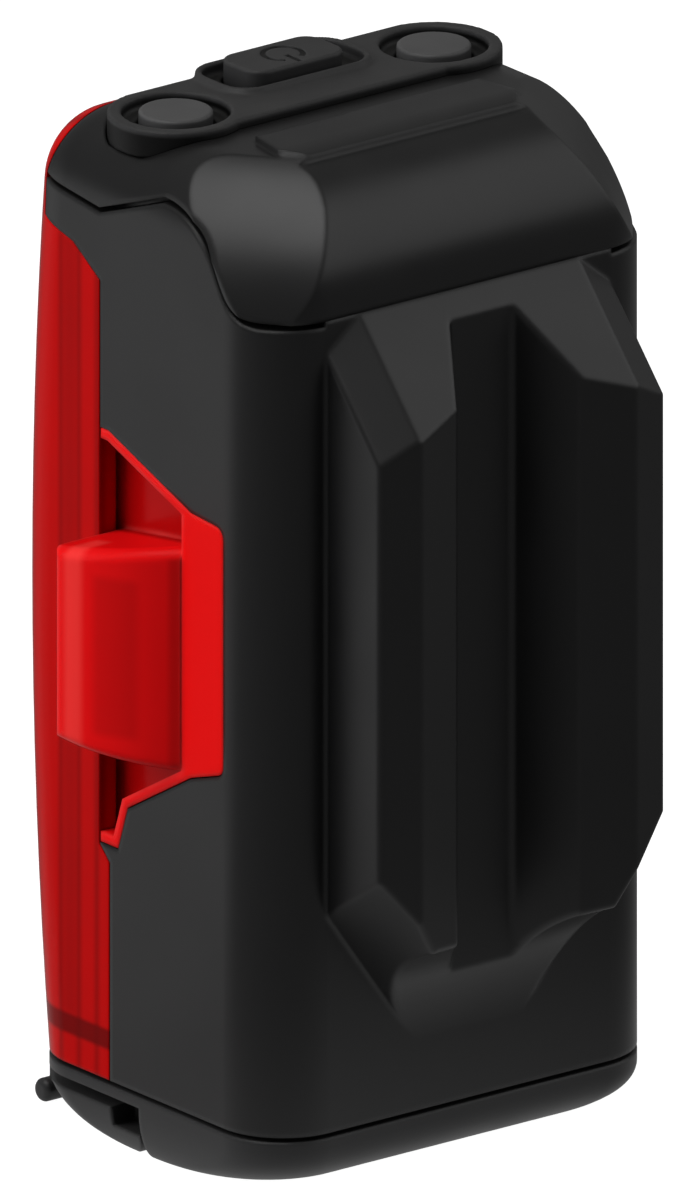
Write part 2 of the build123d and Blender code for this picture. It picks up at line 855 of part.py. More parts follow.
def cell_tabs():
    """The two strips that lead from the cell's top edge to the main board."""
    rear = tray_depths()[1] + cell_thickness / 2
    low = tray_low + tray_height + seat_gap
    return both_sides(block(tab_spread, tab_spread + tab_width, rear,
                            main_board_depth - seat_gap, low, low + tab_thickness))


def board_plate(rear, holes):
    """An upright board with a narrow waist between the side windows."""
    high = board_thickness
    half = board_half
    board = block(-half, half, rear, rear + high, board_low, board_high)
    board = board - both_sides(block(board_waist_half, half + overrun, rear, rear + high,
                                     board_waist_low, board_waist_high))
    for x, level in post_places():
        board = board - level_rod(holes, x, level, rear, rear + high)
    return board


def board_chips():
    """The controller, charger and coil on the front of the main board."""
    rear = main_board_depth + board_thickness
    front = rear + chip_height
    unit = cell_width / 4
    low = board_low + foam_inset
    chips = block(-unit, unit, rear, front, low + unit, low + 3 * unit)
    chips = chips + block(-unit, 0, rear, front, low + 4 * unit, low + 5 * unit)
    return chips + block(unit / 2, 2 * unit, rear, front + chip_height, low + 4 * unit,
                         low + 5 * unit)


def board_spacers():
    """The four sleeves between the main board and the lamp board."""
    rear = main_board_depth + board_thickness
    sleeves = [level_rod(spacer_radius, x, high, rear, lamp_board_depth)
               - level_rod(screw_shank + running_gap, x, high, rear, lamp_board_depth)
               for x, high in post_places()]
    return together(sleeves)


def board_screws():
    """The four long screws that hold both boards to the posts."""
    front = lamp_board_depth + board_thickness
    screws = []
    for x, high in post_places():
        shank = level_rod(screw_shank, x, high, main_board_depth - screw_bite + seat_gap, front)
        head = level_rod(screw_head, x, high, front, front + screw_head_height)
        slot = block(x - screw_head, x + screw_head, front + screw_head_height / 2,
                     front + screw_head_height, high - screw_shank / 3, high + screw_shank / 3)
        screws.append(shank + head - slot)
    return together(screws)


def lamp_places():
    """Width and height of each lamp on the front board."""
    middle = (reflector_low + reflector_high) / 2
    start = middle - lamp_pitch * (lamp_rows - 1) / 2
    return [(x, start + lamp_pitch * row) for x in (-lamp_spread, lamp_spread)
            for row in range(lamp_rows)]


def front_lamps():
    """The lamps on the front board."""
    rear = lamp_board_depth + board_thickness
    half = lamp_size / 2
    return together([block(x - half, x + half, rear, rear + lamp_height,
                                    high - half, high + half) for x, high in lamp_places()])


def reflector():
    """The bright tray with one tapered cup for each lamp."""
    rear = lamp_board_depth + board_thickness + seat_gap
    body = block(-reflector_half, reflector_half, rear, reflector_front_depth,
                 reflector_low, reflector_high)
    small = lamp_size + 2 * fit_gap
    cup = loft([
        Plane(origin=(0, back_y - rear, 0), x_dir=(1, 0, 0), z_dir=(0, -1, 0))
        * Rectangle(small, small),
        Plane(origin=(0, back_y - reflector_front_depth, 0), x_dir=(1, 0, 0), z_dir=(0, -1, 0))
        * Rectangle(reflector_cup_width, reflector_cup_height)])
    for x, high in lamp_places():
        body = body - Pos(x, 0, seam_z + high) * cup
    return body


def diffuser():
    """The clear sheet in front of the reflector."""
    rear = reflector_front_depth + seat_gap
    return block(-reflector_half, reflector_half, rear, rear + diffuser_thickness,
                 reflector_low, reflector_high)


def side_board():
    """The small upright lamp board behind the right hand side lens."""
    low = board_waist_half + fit_gap
    return block(low, low + side_board_thickness, side_board_rear, side_board_front,
                 ear_middle - side_board_half_height, ear_middle + side_board_half_height)


def side_lamps():
    """The two lamps on the right hand side board."""
    low = board_waist_half + fit_gap + side_board_thickness
    middle = (ear_rear_depth + ear_front_depth) / 2
    half = lamp_size / 2
    return together([block(low, low + lamp_height, middle - half, middle + half,
                                    high - half, high + half)
                              for high in (ear_middle - side_lamp_pitch / 2,
                                           ear_middle + side_lamp_pitch / 2)])


def socket_plan(grow):
    """The charging socket's outline from below, grown by a gap."""
    middle = (plug_rear_depth + plug_front_depth) / 2
    half = socket_thickness / 2 + grow
    return rounded_plan(socket_width + 2 * grow, middle - half, middle + half,
                        socket_radius + grow)


def charge_board():
    """The level board that carries the charging socket."""
    low = charge_board_height + seat_gap
    board = block(-charge_board_half, charge_board_half, charge_board_rear, charge_board_front,
                  low, low + board_thickness)
    board = board - raised(socket_plan(seat_gap), low - overrun, low + 2 * board_thickness)
    for x in (-pillar_spread, pillar_spread):
        board = board - upright(stake_radius + running_gap, x, pillar_depth, low - overrun,
                                low + 2 * board_thickness)
    return board


def charge_socket():
    """The charging socket: a rounded shell with a tongue, open below."""
    low = recess_height() + seat_gap
    high = low + socket_height
    shell = raised(socket_plan(0), low, high)
    shell = shell - raised(socket_plan(-socket_shell), low, high - 2 * socket_shell)
    middle = (plug_rear_depth + plug_front_depth) / 2
    half = socket_tongue / 2
    return shell + block(-socket_tongue_width / 2, socket_tongue_width / 2, middle - half,
                         middle + half, low + socket_tongue, high - socket_shell)


def key_board():
    """The level board under the keys."""
    high = key_board_top
    board = block(-key_board_half, key_board_half, key_board_rear, key_board_front,
                  high - key_board_thickness, high)
    for x in (-key_post_spread, key_post_spread):
        board = board - upright(key_screw_shank + running_gap, x, key_post_depth,
                                high - key_board_thickness, high)
    return board


def key_switches():
    """The three small switches under the keys, each with its round button."""
    places = [(-key_spread, key_row_depth), (0, power_depth), (key_spread, key_row_depth)]
    half = switch_size / 2
    low = key_board_top
    body_top = switch_top - switch_cap_height
    return together([
        block(x - half, x + half, depth - half, depth + half, low, body_top)
        + upright(switch_cap_radius, x, depth, body_top, switch_top) for x, depth in places])


def key_board_screws():
    """The two screws that hold the key board up to the cap."""
    low = key_board_top - key_board_thickness
    screw = upright(key_screw_shank, key_post_spread, key_post_depth, low,
                    key_board_top + key_screw_bite - seat_gap)
    head = upright(key_post_radius, key_post_spread, key_post_depth, low - screw_head_height, low)
    return both_sides(screw + head)


def make_parts():
    """Every piece of the light by its name."""
    outer = case_form(0)
    inner = case_form(wall)
    right_lens = side_lens()
    right_board = side_board()
    right_lamps = side_lamps()
    return {
        "rear_housing": rear_housing(outer, inner),
        "top_cap": top_cap(),
        "front_lens": front_lens(outer, inner),
        "side_lens_right": right_lens,
        "side_lens_left": mirrored(right_lens),
        "base_cap": base_cap(),
        "base_seal": base_seal(),
        "base_screws": base_screws(),
        "port_cover": port_cover(),
        "cover_pin": cover_pin(),
        "keypad": keypad(),
        "power_key": power_key(),
        "right_key": round_key(key_spread),
        "left_key": round_key(-key_spread),
        "key_board": key_board(),
        "key_switches": key_switches(),
        "key_board_screws": key_board_screws(),
        "battery_tray": battery_tray(),
        "battery_cell": battery_cell(),
        "battery_pad": battery_pad(),
        "cell_tabs": cell_tabs(),
        "main_board": board_plate(main_board_depth, screw_shank + fit_gap),
        "board_chips": board_chips(),
        "board_spacers": board_spacers(),
        "lamp_board": board_plate(lamp_board_depth, screw_shank + fit_gap),
        "board_screws": board_screws(),
        "front_lamps": front_lamps(),
        "reflector": reflector(),
        "diffuser": diffuser(),
        "side_board_right": right_board,
        "side_board_left": mirrored(right_board),
        "side_lamps_right": right_lamps,
        "side_lamps_left": mirrored(right_lamps),
        "charge_board": charge_board(),
        "charge_socket": charge_socket(),
    }


os.makedirs("parts", exist_ok=True)
for name, shape in make_parts().items():
    export_step(shape, f"parts/{name}.step")
    print(name, round(shape.volume, 1))
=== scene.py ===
"""Looks of a bicycle rear light: black case, red lenses, soft keypad, strap boss, port cover."""

import logging
import math
from dataclasses import dataclass, replace
from enum import Enum
from typing import Callable

import bmesh
import bpy
from mathutils import Matrix, Vector


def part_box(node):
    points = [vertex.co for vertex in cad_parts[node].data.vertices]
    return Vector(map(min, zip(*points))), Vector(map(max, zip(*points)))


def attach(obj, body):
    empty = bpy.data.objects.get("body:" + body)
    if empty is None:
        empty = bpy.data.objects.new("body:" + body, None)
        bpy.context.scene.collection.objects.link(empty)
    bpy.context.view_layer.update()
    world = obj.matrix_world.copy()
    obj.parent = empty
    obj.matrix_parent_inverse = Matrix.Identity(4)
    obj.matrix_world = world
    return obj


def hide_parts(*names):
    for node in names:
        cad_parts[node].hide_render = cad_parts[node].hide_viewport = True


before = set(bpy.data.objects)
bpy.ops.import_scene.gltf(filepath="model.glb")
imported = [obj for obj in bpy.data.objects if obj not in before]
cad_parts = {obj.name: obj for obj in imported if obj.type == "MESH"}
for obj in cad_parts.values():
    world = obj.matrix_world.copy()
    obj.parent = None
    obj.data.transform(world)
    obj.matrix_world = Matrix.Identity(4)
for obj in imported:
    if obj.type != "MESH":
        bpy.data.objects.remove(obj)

LOG = logging.getLogger("rear_light")
HOUSING = "housing"
MM = 0.001
FULL = 1.0
WHITE = (FULL, FULL, FULL, FULL)
DUST_COLOUR = (0.35, 0.34, 0.32)
COAT_ROUGHNESS = 0.12
GRAIN_RISE_MM = 0.05
MERGE_M = 1e-6
WEAR_NOISE_SCALE = 420.0
WEAR_ALIGNED, WEAR_TURNED = 0.995, 0.82
DUST_NOISE_SCALE = 260.0
DUST_FROM_UP = 0.2
FLUTE_NOISE_SCALE = 0.45
FLUTE_VALLEY = 0.85
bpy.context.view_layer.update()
BACK_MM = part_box("base_cap")[1][1] / MM
SEAM_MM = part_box("base_seal")[1][2] / MM


class Socket(Enum):
    """Kinds of socket that the trees here take."""

    NUMBER = "NodeSocketFloat"
    WHOLE = "NodeSocketInt"
    VECTOR = "NodeSocketVector"
    SHAPE = "NodeSocketGeometry"
    FINISH = "NodeSocketMaterial"


class TreeKind(Enum):
    """Kinds of node tree made here."""

    SHADER = "ShaderNodeTree"
    GEOMETRY = "GeometryNodeTree"


class Way(Enum):
    """The three ways in which a place on the light is given, in millimetres."""

    WIDTH = "Width"
    DEPTH = "Depth"
    HEIGHT = "Height"


class TreeMaker:
    """A node group under construction, with named inputs and outputs."""

    def __init__(self, name: str, inputs: dict[str, tuple[Socket, object]],
                 outputs: dict[str, Socket], kind: TreeKind = TreeKind.SHADER) -> None:
        """Makes the group and its sockets.

        Args:
            name: the group's name.
            inputs: socket name to its kind and default, None where it has no default.
            outputs: socket name to its kind.
            kind: the kind of tree.
        """
        self.tree = bpy.data.node_groups.new(name, kind.value)
        for label, (sort, default) in inputs.items():
            socket = self.tree.interface.new_socket(label, in_out="INPUT", socket_type=sort.value)
            if default is not None:
                socket.default_value = default
        for label, sort in outputs.items():
            self.tree.interface.new_socket(label, in_out="OUTPUT", socket_type=sort.value)
        self.source = self.tree.nodes.new("NodeGroupInput")
        self.sink = self.tree.nodes.new("NodeGroupOutput")

    def given(self, label: str) -> bpy.types.NodeSocket:
        """The socket that carries an input of the group."""
        return self.source.outputs[label]

    def node(self, kind: str, **values: object) -> bpy.types.Node:
        """Adds a node to the group.

        Args:
            kind: the node's type name.
            values: node properties, or input values by socket name or place.

        Returns:
            The new node.
        """
        return add_node(self.tree, kind, **values)

    def join(self, start: bpy.types.NodeSocket, end: bpy.types.NodeSocket) -> None:
        """Links two sockets."""
        self.tree.links.new(start, end)

    def sum(self, operation: str, first: object, second: object = 0.0,
            third: object = 0.0) -> bpy.types.NodeSocket:
        """Adds a Math node.

        Args:
            operation: the node's operation.
            first: a socket or a number.
            second: a socket or a number.
            third: a socket or a number, where the operation takes one.

        Returns:
            The node's result.
        """
        node = self.tree.nodes.new("ShaderNodeMath")
        node.operation = operation
        for place, value in enumerate((first, second, third)):
            if isinstance(value, bpy.types.NodeSocket):
                self.tree.links.new(value, node.inputs[place])
            else:
                node.inputs[place].default_value = value
        return node.outputs[0]

    def end_mask(self, mask: bpy.types.NodeSocket, cloud: bpy.types.NodeSocket) -> None:
        """Breaks a mask up by a cloud, scales it by the group's amount and gives it out.

        Args:
            mask: the even mask.
            cloud: the noise that breaks it up.
        """
        broken = self.sum("MULTIPLY", mask, cloud)
        scaled = self.node("ShaderNodeMath", operation="MULTIPLY", use_clamp=True)
        self.join(broken, scaled.inputs[0])
        self.join(self.given("Amount"), scaled.inputs[1])
        self.join(scaled.outputs[0], self.sink.inputs["Mask"])


def add_node(tree: bpy.types.NodeTree, kind: str, **values: object) -> bpy.types.Node:
    """Adds a node and sets it up.

    Args:
        tree: the tree that gets the node.
        kind: the node's type name.
        values: properties by name; inputs as in_NAME with spaces as underscores, or in0, in1 by place.

    Returns:
        The new node.
    """
    node = tree.nodes.new(kind)
    for key, value in values.items():
        if key.startswith("in") and key[2:].isdigit():
            node.inputs[int(key[2:])].default_value = value
        elif key.startswith("in_"):
            node.inputs[key[3:].replace("_", " ")].default_value = value
        else:
            setattr(node, key, value)
    return node


def moulded_grain() -> bpy.types.NodeTree:
    """Fine spark eroded grain of a moulded face, with a soft mottle.

    Returns:
        A group that gives a height and a mottle mask.
    """
    group = TreeMaker(
        "moulded_grain",
        {"Grain size mm": (Socket.NUMBER, 0.25), "Mottle size mm": (Socket.NUMBER, 9.0)},
        {"Height": Socket.NUMBER, "Mottle": Socket.NUMBER})
    place = group.node("ShaderNodeTexCoord")
    for size, detail, roughness, result in (("Grain size mm", 3.0, 0.65, "Height"),
                                            ("Mottle size mm", 2.0, 0.5, "Mottle")):
        noise = group.node("ShaderNodeTexNoise", in_Detail=detail, in_Roughness=roughness)
        group.join(place.outputs["Object"], noise.inputs["Vector"])
        group.join(group.sum("DIVIDE", FULL / MM, group.given(size)), noise.inputs["Scale"])
        group.join(noise.outputs["Fac"], group.sink.inputs[result])
    return group.tree


def edge_wear() -> bpy.types.NodeTree:
    """Rubbed edges, found where a rounded normal leaves the true one.

    Returns:
        A group that gives a wear mask and the rounded normal.
    """
    group = TreeMaker(
        "edge_wear", {"Radius mm": (Socket.NUMBER, 0.3), "Amount": (Socket.NUMBER, 0.5)},
        {"Mask": Socket.NUMBER, "Normal": Socket.VECTOR})
    soft = group.node("ShaderNodeBevel", samples=6)
    group.join(group.sum("MULTIPLY", group.given("Radius mm"), MM), soft.inputs["Radius"])
    true = group.node("ShaderNodeNewGeometry")
    match = group.node("ShaderNodeVectorMath", operation="DOT_PRODUCT")
    group.join(soft.outputs["Normal"], match.inputs[0])
    group.join(true.outputs["Normal"], match.inputs[1])
    spread = group.node("ShaderNodeMapRange", in_From_Min=WEAR_ALIGNED, in_From_Max=WEAR_TURNED)
    group.join(match.outputs["Value"], spread.inputs["Value"])
    place = group.node("ShaderNodeTexCoord")
    patch = group.node("ShaderNodeTexNoise", in_Scale=WEAR_NOISE_SCALE, in_Detail=3.0)
    group.join(place.outputs["Object"], patch.inputs["Vector"])
    group.end_mask(spread.outputs["Result"], patch.outputs["Fac"])
    group.join(soft.outputs["Normal"], group.sink.inputs["Normal"])
    return group.tree


def settled_dust() -> bpy.types.NodeTree:
    """A faint pale dust that lies on faces that look up.

    Returns:
        A group that gives a dust mask.
    """
    group = TreeMaker("settled_dust", {"Amount": (Socket.NUMBER, 0.1)}, {"Mask": Socket.NUMBER})
    true = group.node("ShaderNodeNewGeometry")
    parts = group.node("ShaderNodeSeparateXYZ")
    group.join(true.outputs["Normal"], parts.inputs[0])
    up = group.node("ShaderNodeMapRange", in_From_Min=DUST_FROM_UP, in_From_Max=FULL)
    group.join(parts.outputs["Z"], up.inputs["Value"])
    place = group.node("ShaderNodeTexCoord")
    cloud = group.node("ShaderNodeTexNoise", in_Scale=DUST_NOISE_SCALE, in_Detail=5.0)
    group.join(place.outputs["Object"], cloud.inputs["Vector"])
    group.end_mask(up.outputs["Result"], cloud.outputs["Fac"])
    return group.tree


def part_places() -> bpy.types.NodeTree:
    """Where a point lies on the light, in millimetres.

    Returns:
        A group that gives the distance from the middle plane, the depth from the flat back
        and the height above the base seam.
    """
    group = TreeMaker("part_places", {}, {way.value: Socket.NUMBER for way in Way})
    place = group.node("ShaderNodeTexCoord")
    parts = group.node("ShaderNodeSeparateXYZ")
    group.join(place.outputs["Object"], parts.inputs[0])
    across = group.sum("ABSOLUTE", parts.outputs["X"])
    group.join(group.sum("DIVIDE", across, MM), group.sink.inputs[Way.WIDTH.value])
    back = group.sum("DIVIDE", parts.outputs["Y"], -MM)
    group.join(group.sum("ADD", back, BACK_MM), group.sink.inputs[Way.DEPTH.value])
    high = group.sum("DIVIDE", parts.outputs["Z"], MM)
    group.join(group.sum("SUBTRACT", high, SEAM_MM), group.sink.inputs[Way.HEIGHT.value])
    return group.tree


def soft_band() -> bpy.types.NodeTree:
    """A band between two values with soft sides.

    Returns:
        A group that gives a mask that is 1 inside the band.
    """
    group = TreeMaker(
        "soft_band",
        {"Value": (Socket.NUMBER, 0.0), "Low": (Socket.NUMBER, 0.0), "High": (Socket.NUMBER, 1.0),
         "Soft": (Socket.NUMBER, 0.5)}, {"Mask": Socket.NUMBER})
    past_low = group.sum("SUBTRACT", group.given("Value"), group.given("Low"))
    to_high = group.sum("SUBTRACT", group.given("High"), group.given("Value"))
    inside = group.sum("MINIMUM", past_low, to_high)
    share = group.sum("DIVIDE", inside, group.given("Soft"))
    ramp = group.node("ShaderNodeMapRange", interpolation_type="SMOOTHSTEP",
                      in_From_Min=-FULL / 2, in_From_Max=FULL / 2)
    group.join(share, ramp.inputs["Value"])
    group.join(ramp.outputs["Result"], group.sink.inputs["Mask"])
    return group.tree


def upright_flutes() -> bpy.types.NodeTree:
    """Upright half round flutes in a clear lens, spaced along the side and across the front.

    Returns:
        A group that gives the flutes' height and a mask of painted shade for their valleys.
    """
    group = TreeMaker(
        "upright_flutes", {"Pitch mm": (Socket.NUMBER, 2.4), "Front mm": (Socket.NUMBER, 27.0)},
        {"Height": Socket.NUMBER, "Shade": Socket.NUMBER})
    places = group.node("ShaderNodeGroup", node_tree=shader_group("part_places"))
    deep = group.sum("MINIMUM", places.outputs["Depth"], group.given("Front mm"))
    line = group.sum("SUBTRACT", places.outputs["Width"], deep)
    turns = group.sum("DIVIDE", line, group.given("Pitch mm"))
    wave = group.sum("PINGPONG", turns, FULL / 2)
    round_top = group.sum("SINE", group.sum("MULTIPLY", wave, math.pi))
    group.join(round_top, group.sink.inputs["Height"])
    uneven = group.node("ShaderNodeTexNoise", noise_dimensions="1D", in_Scale=FLUTE_NOISE_SCALE,
                        in_Detail=2.0)
    group.join(line, uneven.inputs["W"])
    shade = group.node("ShaderNodeMapRange", interpolation_type="SMOOTHSTEP", in_From_Min=0.0,
                       in_From_Max=FLUTE_VALLEY, in_To_Min=FULL, in_To_Max=0.0)
    group.join(round_top, shade.inputs["Value"])
    group.join(group.sum("MULTIPLY", shade.outputs["Result"], uneven.outputs["Fac"]),
               group.sink.inputs["Shade"])
    return group.tree


GROUP_MAKERS: dict[str, Callable[[], bpy.types.NodeTree]] = {
    "moulded_grain": moulded_grain, "edge_wear": edge_wear, "settled_dust": settled_dust,
    "part_places": part_places, "soft_band": soft_band, "upright_flutes": upright_flutes}


def shader_group(name: str) -> bpy.types.NodeTree:
    """The named shader group, built the first time it is asked for."""
    return bpy.data.node_groups.get(name) or GROUP_MAKERS[name]()


@dataclass(frozen=True)
class Patch:
    """A soft sided region of a finish with a colour laid over it: a mark of the thing's own, painted
    shade or a painted highlight.
    """

    colour: tuple[float, float, float]
    ranges: tuple[tuple[Way, float, float], ...]
    soft_mm: float = 0.6
    share: float = 1.0


@dataclass(frozen=True)
class Finish:
    """A moulded or metal finish: one Principled shader with grain, wear and dust, and on some finishes
    painted shade in flute valleys and patches of painted shade and painted highlight.
    """

    name: str
    colour: tuple[float, float, float]
    worn: tuple[float, float, float]
    roughness: float = 0.4
    metallic: float = 0.0
    specular: float = 0.5
    coat: float = 0.0
    transmission: float = 0.0
    ior: float = 1.5
    grain_mm: float = 0.25
    grain_depth: float = 0.1
    mottle: float = 0.06
    mottle_low: float = 0.3
    mottle_high: float = 0.7
    roughness_swing: float = 0.1
    rounding_mm: float = 0.25
    wear: float = 0.3
    dust: float = 0.05
    flutes: float = 0.0
    flute_pitch_mm: float = 2.4
    flute_front_mm: float = 27.0
    flute_shade_colour: tuple[float, float, float] = (0.1, 0.0, 0.0)
    patches: tuple[Patch, ...] = ()

    def material(self) -> bpy.types.Material:
        """The material of this finish, built once.

        Returns:
            The material.
        """
        own_name = f"{self.name}_finish"
        made = bpy.data.materials.get(own_name)
        if made:
            return made
        made = bpy.data.materials.new(own_name)
        made.use_nodes = True
        tree = made.node_tree
        shader = tree.nodes["Principled BSDF"]
        settings = {"Metallic": self.metallic, "Specular IOR Level": self.specular,
                    "Coat Weight": self.coat, "Coat Roughness": COAT_ROUGHNESS, "IOR": self.ior,
                    "Transmission Weight": self.transmission}
        for label, value in settings.items():
            shader.inputs[label].default_value = value
        grain = self._group(tree, "moulded_grain", {"Grain size mm": self.grain_mm})
        wear = self._group(tree, "edge_wear", {"Radius mm": self.rounding_mm, "Amount": self.wear})
        dust = self._group(tree, "settled_dust", {"Amount": self.dust})
        base = self._mottled(tree, grain.outputs["Mottle"])
        height = grain.outputs["Height"]
        if self.flutes:
            flutes = self._group(tree, "upright_flutes", {"Pitch mm": self.flute_pitch_mm,
                                                          "Front mm": self.flute_front_mm})
            # Painted shade darkens the lens colour in the flute valleys.
            base = self._mix(tree, flutes.outputs["Shade"], base, self.flute_shade_colour)
            raised = add_node(tree, "ShaderNodeMath", operation="MULTIPLY_ADD", in1=self.flutes)
            tree.links.new(flutes.outputs["Height"], raised.inputs[0])
            tree.links.new(height, raised.inputs[2])
            height = raised.outputs[0]
        # Patches lay colours over the base; on the keypad and the lenses some of them are painted shade
        # and painted highlight.
        for patch in self.patches:
            base = self._mix(tree, self._region(tree, patch), base, patch.colour)
        base = self._mix(tree, wear.outputs["Mask"], base, self.worn)
        base = self._mix(tree, dust.outputs["Mask"], base, DUST_COLOUR)
        tree.links.new(base, shader.inputs["Base Color"])
        low, high = (self.roughness * (FULL + side * self.roughness_swing) for side in (-1, 1))
        rough = add_node(tree, "ShaderNodeMapRange", in_From_Min=self.mottle_low,
                         in_From_Max=self.mottle_high, in_To_Min=low, in_To_Max=min(FULL, high))
        tree.links.new(grain.outputs["Mottle"], rough.inputs["Value"])
        tree.links.new(rough.outputs["Result"], shader.inputs["Roughness"])
        bump = add_node(tree, "ShaderNodeBump", in_Strength=self.grain_depth,
                        in_Distance=GRAIN_RISE_MM * MM)
        tree.links.new(height, bump.inputs["Height"])
        tree.links.new(wear.outputs["Normal"], bump.inputs["Normal"])
        tree.links.new(bump.outputs["Normal"], shader.inputs["Normal"])
        return made

    def _region(self, tree: bpy.types.NodeTree, patch: Patch) -> bpy.types.NodeSocket:
        """The mask of a patch, from its ranges along the width, the depth and the height."""
        places = self._group(tree, "part_places", {})
        mask = None
        for way, low, high in patch.ranges:
            band = self._group(tree, "soft_band", {"Low": low, "High": high, "Soft": patch.soft_mm})
            tree.links.new(places.outputs[way.value], band.inputs["Value"])
            if mask is None:
                mask = band.outputs["Mask"]
                continue
            both = add_node(tree, "ShaderNodeMath", operation="MULTIPLY")
            tree.links.new(mask, both.inputs[0])
            tree.links.new(band.outputs["Mask"], both.inputs[1])
            mask = both.outputs[0]
        scaled = add_node(tree, "ShaderNodeMath", operation="MULTIPLY", in1=patch.share)
        tree.links.new(mask, scaled.inputs[0])
        return scaled.outputs[0]

    def _group(self, tree: bpy.types.NodeTree, name: str, values: dict[str, float]) -> bpy.types.Node:
        """Places a shader group in a material with its own values."""
        node = tree.nodes.new("ShaderNodeGroup")
        node.node_tree = shader_group(name)
        for label, value in values.items():
            node.inputs[label].default_value = value
        return node

    def _mix(self, tree: bpy.types.NodeTree, mask: bpy.types.NodeSocket, base: bpy.types.NodeSocket,
             over: tuple[float, float, float]) -> bpy.types.NodeSocket:
        """Lays a colour over another by a mask."""
        mix = add_node(tree, "ShaderNodeMix", data_type="RGBA")
        tree.links.new(mask, mix.inputs["Factor"])
        tree.links.new(base, mix.inputs["A"])
        mix.inputs["B"].default_value = (*over, FULL)
        return mix.outputs["Result"]

    def _mottled(self, tree: bpy.types.NodeTree, mask: bpy.types.NodeSocket) -> bpy.types.NodeSocket:
        """The base colour, lightened and darkened a little over the surface."""
        low = tuple(c * (FULL - self.mottle) for c in self.colour)
        high = tuple(min(FULL, c * (FULL + self.mottle)) for c in self.colour)
        mix = add_node(tree, "ShaderNodeMix", data_type="RGBA")
        tree.links.new(mask, mix.inputs["Factor"])
        mix.inputs["A"].default_value = (*low, FULL)
        mix.inputs["B"].default_value = (*high, FULL)
        return mix.outputs["Result"]


# Near black: painted shade on the keypad's sides under its top lip, and a thin dark band on the power
# key.
PAINTED_SHADE_AND_MARK_BLACK = (0.0006, 0.0006, 0.0006)
# Deep red: painted shade in the side lens's recess, and darker bands on the front lens.
DEEP_RED = (0.10, 0.0, 0.0)
PAINTED_SHADE_RED = (0.34, 0.003, 0.003)
PAINTED_HIGHLIGHT_RED = (0.80, 0.045, 0.04)
PLAIN_RED = (0.66, 0.0, 0.0)

CASE_BLACK = Finish("case_black", (0.0042, 0.0042, 0.0044), (0.035, 0.035, 0.035), roughness=0.33,
                    specular=0.5, rounding_mm=0.6, wear=0.2, dust=0.02, grain_depth=0.06)
COVER_BLACK = Finish("cover_black", (0.012, 0.012, 0.0125), (0.05, 0.05, 0.05), roughness=0.4,
                     specular=0.5, rounding_mm=0.5, dust=0.03)
LENS_RED = Finish(
    "lens_red", (0.40, 0.0006, 0.0006), (0.52, 0.01, 0.01), roughness=0.22, specular=0.05,
    ior=1.49, grain_mm=2.0, grain_depth=0.2, mottle=0.08, rounding_mm=0.4, wear=0.35, dust=0.0,
    flutes=0.5, flute_pitch_mm=2.2, flute_shade_colour=(0.12, 0.0, 0.0),
    patches=(Patch(DEEP_RED, ((Way.HEIGHT, 2.4, 4.0),), soft_mm=0.5, share=0.85),
             Patch(DEEP_RED, ((Way.DEPTH, 23.7, 25.3), (Way.HEIGHT, 4.0, 75.0)), soft_mm=1.2,
                   share=0.35)))
SIDE_LENS_RED = Finish(
    "side_lens_red", (0.68, 0.004, 0.005), (0.82, 0.07, 0.065), roughness=0.2, specular=0.07,
    ior=1.49, grain_mm=1.5, grain_depth=0.06, mottle=0.06, rounding_mm=0.7, wear=0.6, dust=0.0,
    patches=(
        Patch(PLAIN_RED, ((Way.WIDTH, 18.0, 19.3), (Way.DEPTH, 4.0, 10.6)), soft_mm=0.8),
        # Painted highlight: a pale upright strip near the front of the ear.
        Patch(PAINTED_HIGHLIGHT_RED, ((Way.WIDTH, 20.5, 25.0), (Way.DEPTH, 17.6, 19.2)), soft_mm=0.9, share=0.6),
        # Painted shade: the darker middle of the ear, where the dim inside shows through.
        Patch(PAINTED_SHADE_RED, ((Way.WIDTH, 19.5, 25.0), (Way.DEPTH, 13.4, 16.6), (Way.HEIGHT, 29.4, 42.0)),
              soft_mm=1.0, share=0.4),
        # Painted shade: a dark upright line in the crease at the rear root of the ear.
        Patch(PAINTED_SHADE_RED, ((Way.WIDTH, 18.7, 20.4), (Way.DEPTH, 10.6, 11.6), (Way.HEIGHT, 27.2, 44.0)),
              soft_mm=0.5, share=0.5),
        # Painted shade in the recess behind the ear.
        Patch(DEEP_RED, ((Way.WIDTH, 10.0, 17.6),), soft_mm=0.8, share=0.62)))
SEAL_RUBBER = Finish("seal_rubber", (0.004, 0.004, 0.004), (0.01, 0.01, 0.01), roughness=0.7,
                     specular=0.2, grain_mm=0.4, dust=0.0)
KEYPAD_RUBBER = Finish("keypad_rubber", (0.02, 0.02, 0.0205), (0.05, 0.05, 0.05), roughness=0.5,
                       specular=0.3, rounding_mm=0.35, wear=0.35, dust=0.05, grain_depth=0.15,
                       # Painted shade: the keypad is near black below its top lip, where the lip's
                       # shadow falls.
                       patches=(Patch(PAINTED_SHADE_AND_MARK_BLACK, ((Way.HEIGHT, 70.0, 75.55),), soft_mm=0.3),))
POWER_RUBBER = replace(
    KEYPAD_RUBBER, name="power_rubber", colour=(0.022, 0.022, 0.0225),
    patches=(Patch(PAINTED_SHADE_AND_MARK_BLACK, ((Way.WIDTH, -1.0, 1.95), (Way.DEPTH, 20.8, 24.7),
                          (Way.HEIGHT, 76.85, 77.03)), soft_mm=0.05),))
KEY_RUBBER = Finish("key_rubber", (0.052, 0.052, 0.053), (0.08, 0.08, 0.08), roughness=0.5,
                    specular=0.35, rounding_mm=0.3, dust=0.08, grain_depth=0.15)
SCREW_STEEL = Finish("screw_steel", (0.5, 0.5, 0.52), (0.8, 0.8, 0.82), roughness=0.32,
                     metallic=1.0, grain_mm=0.15, rounding_mm=0.1)
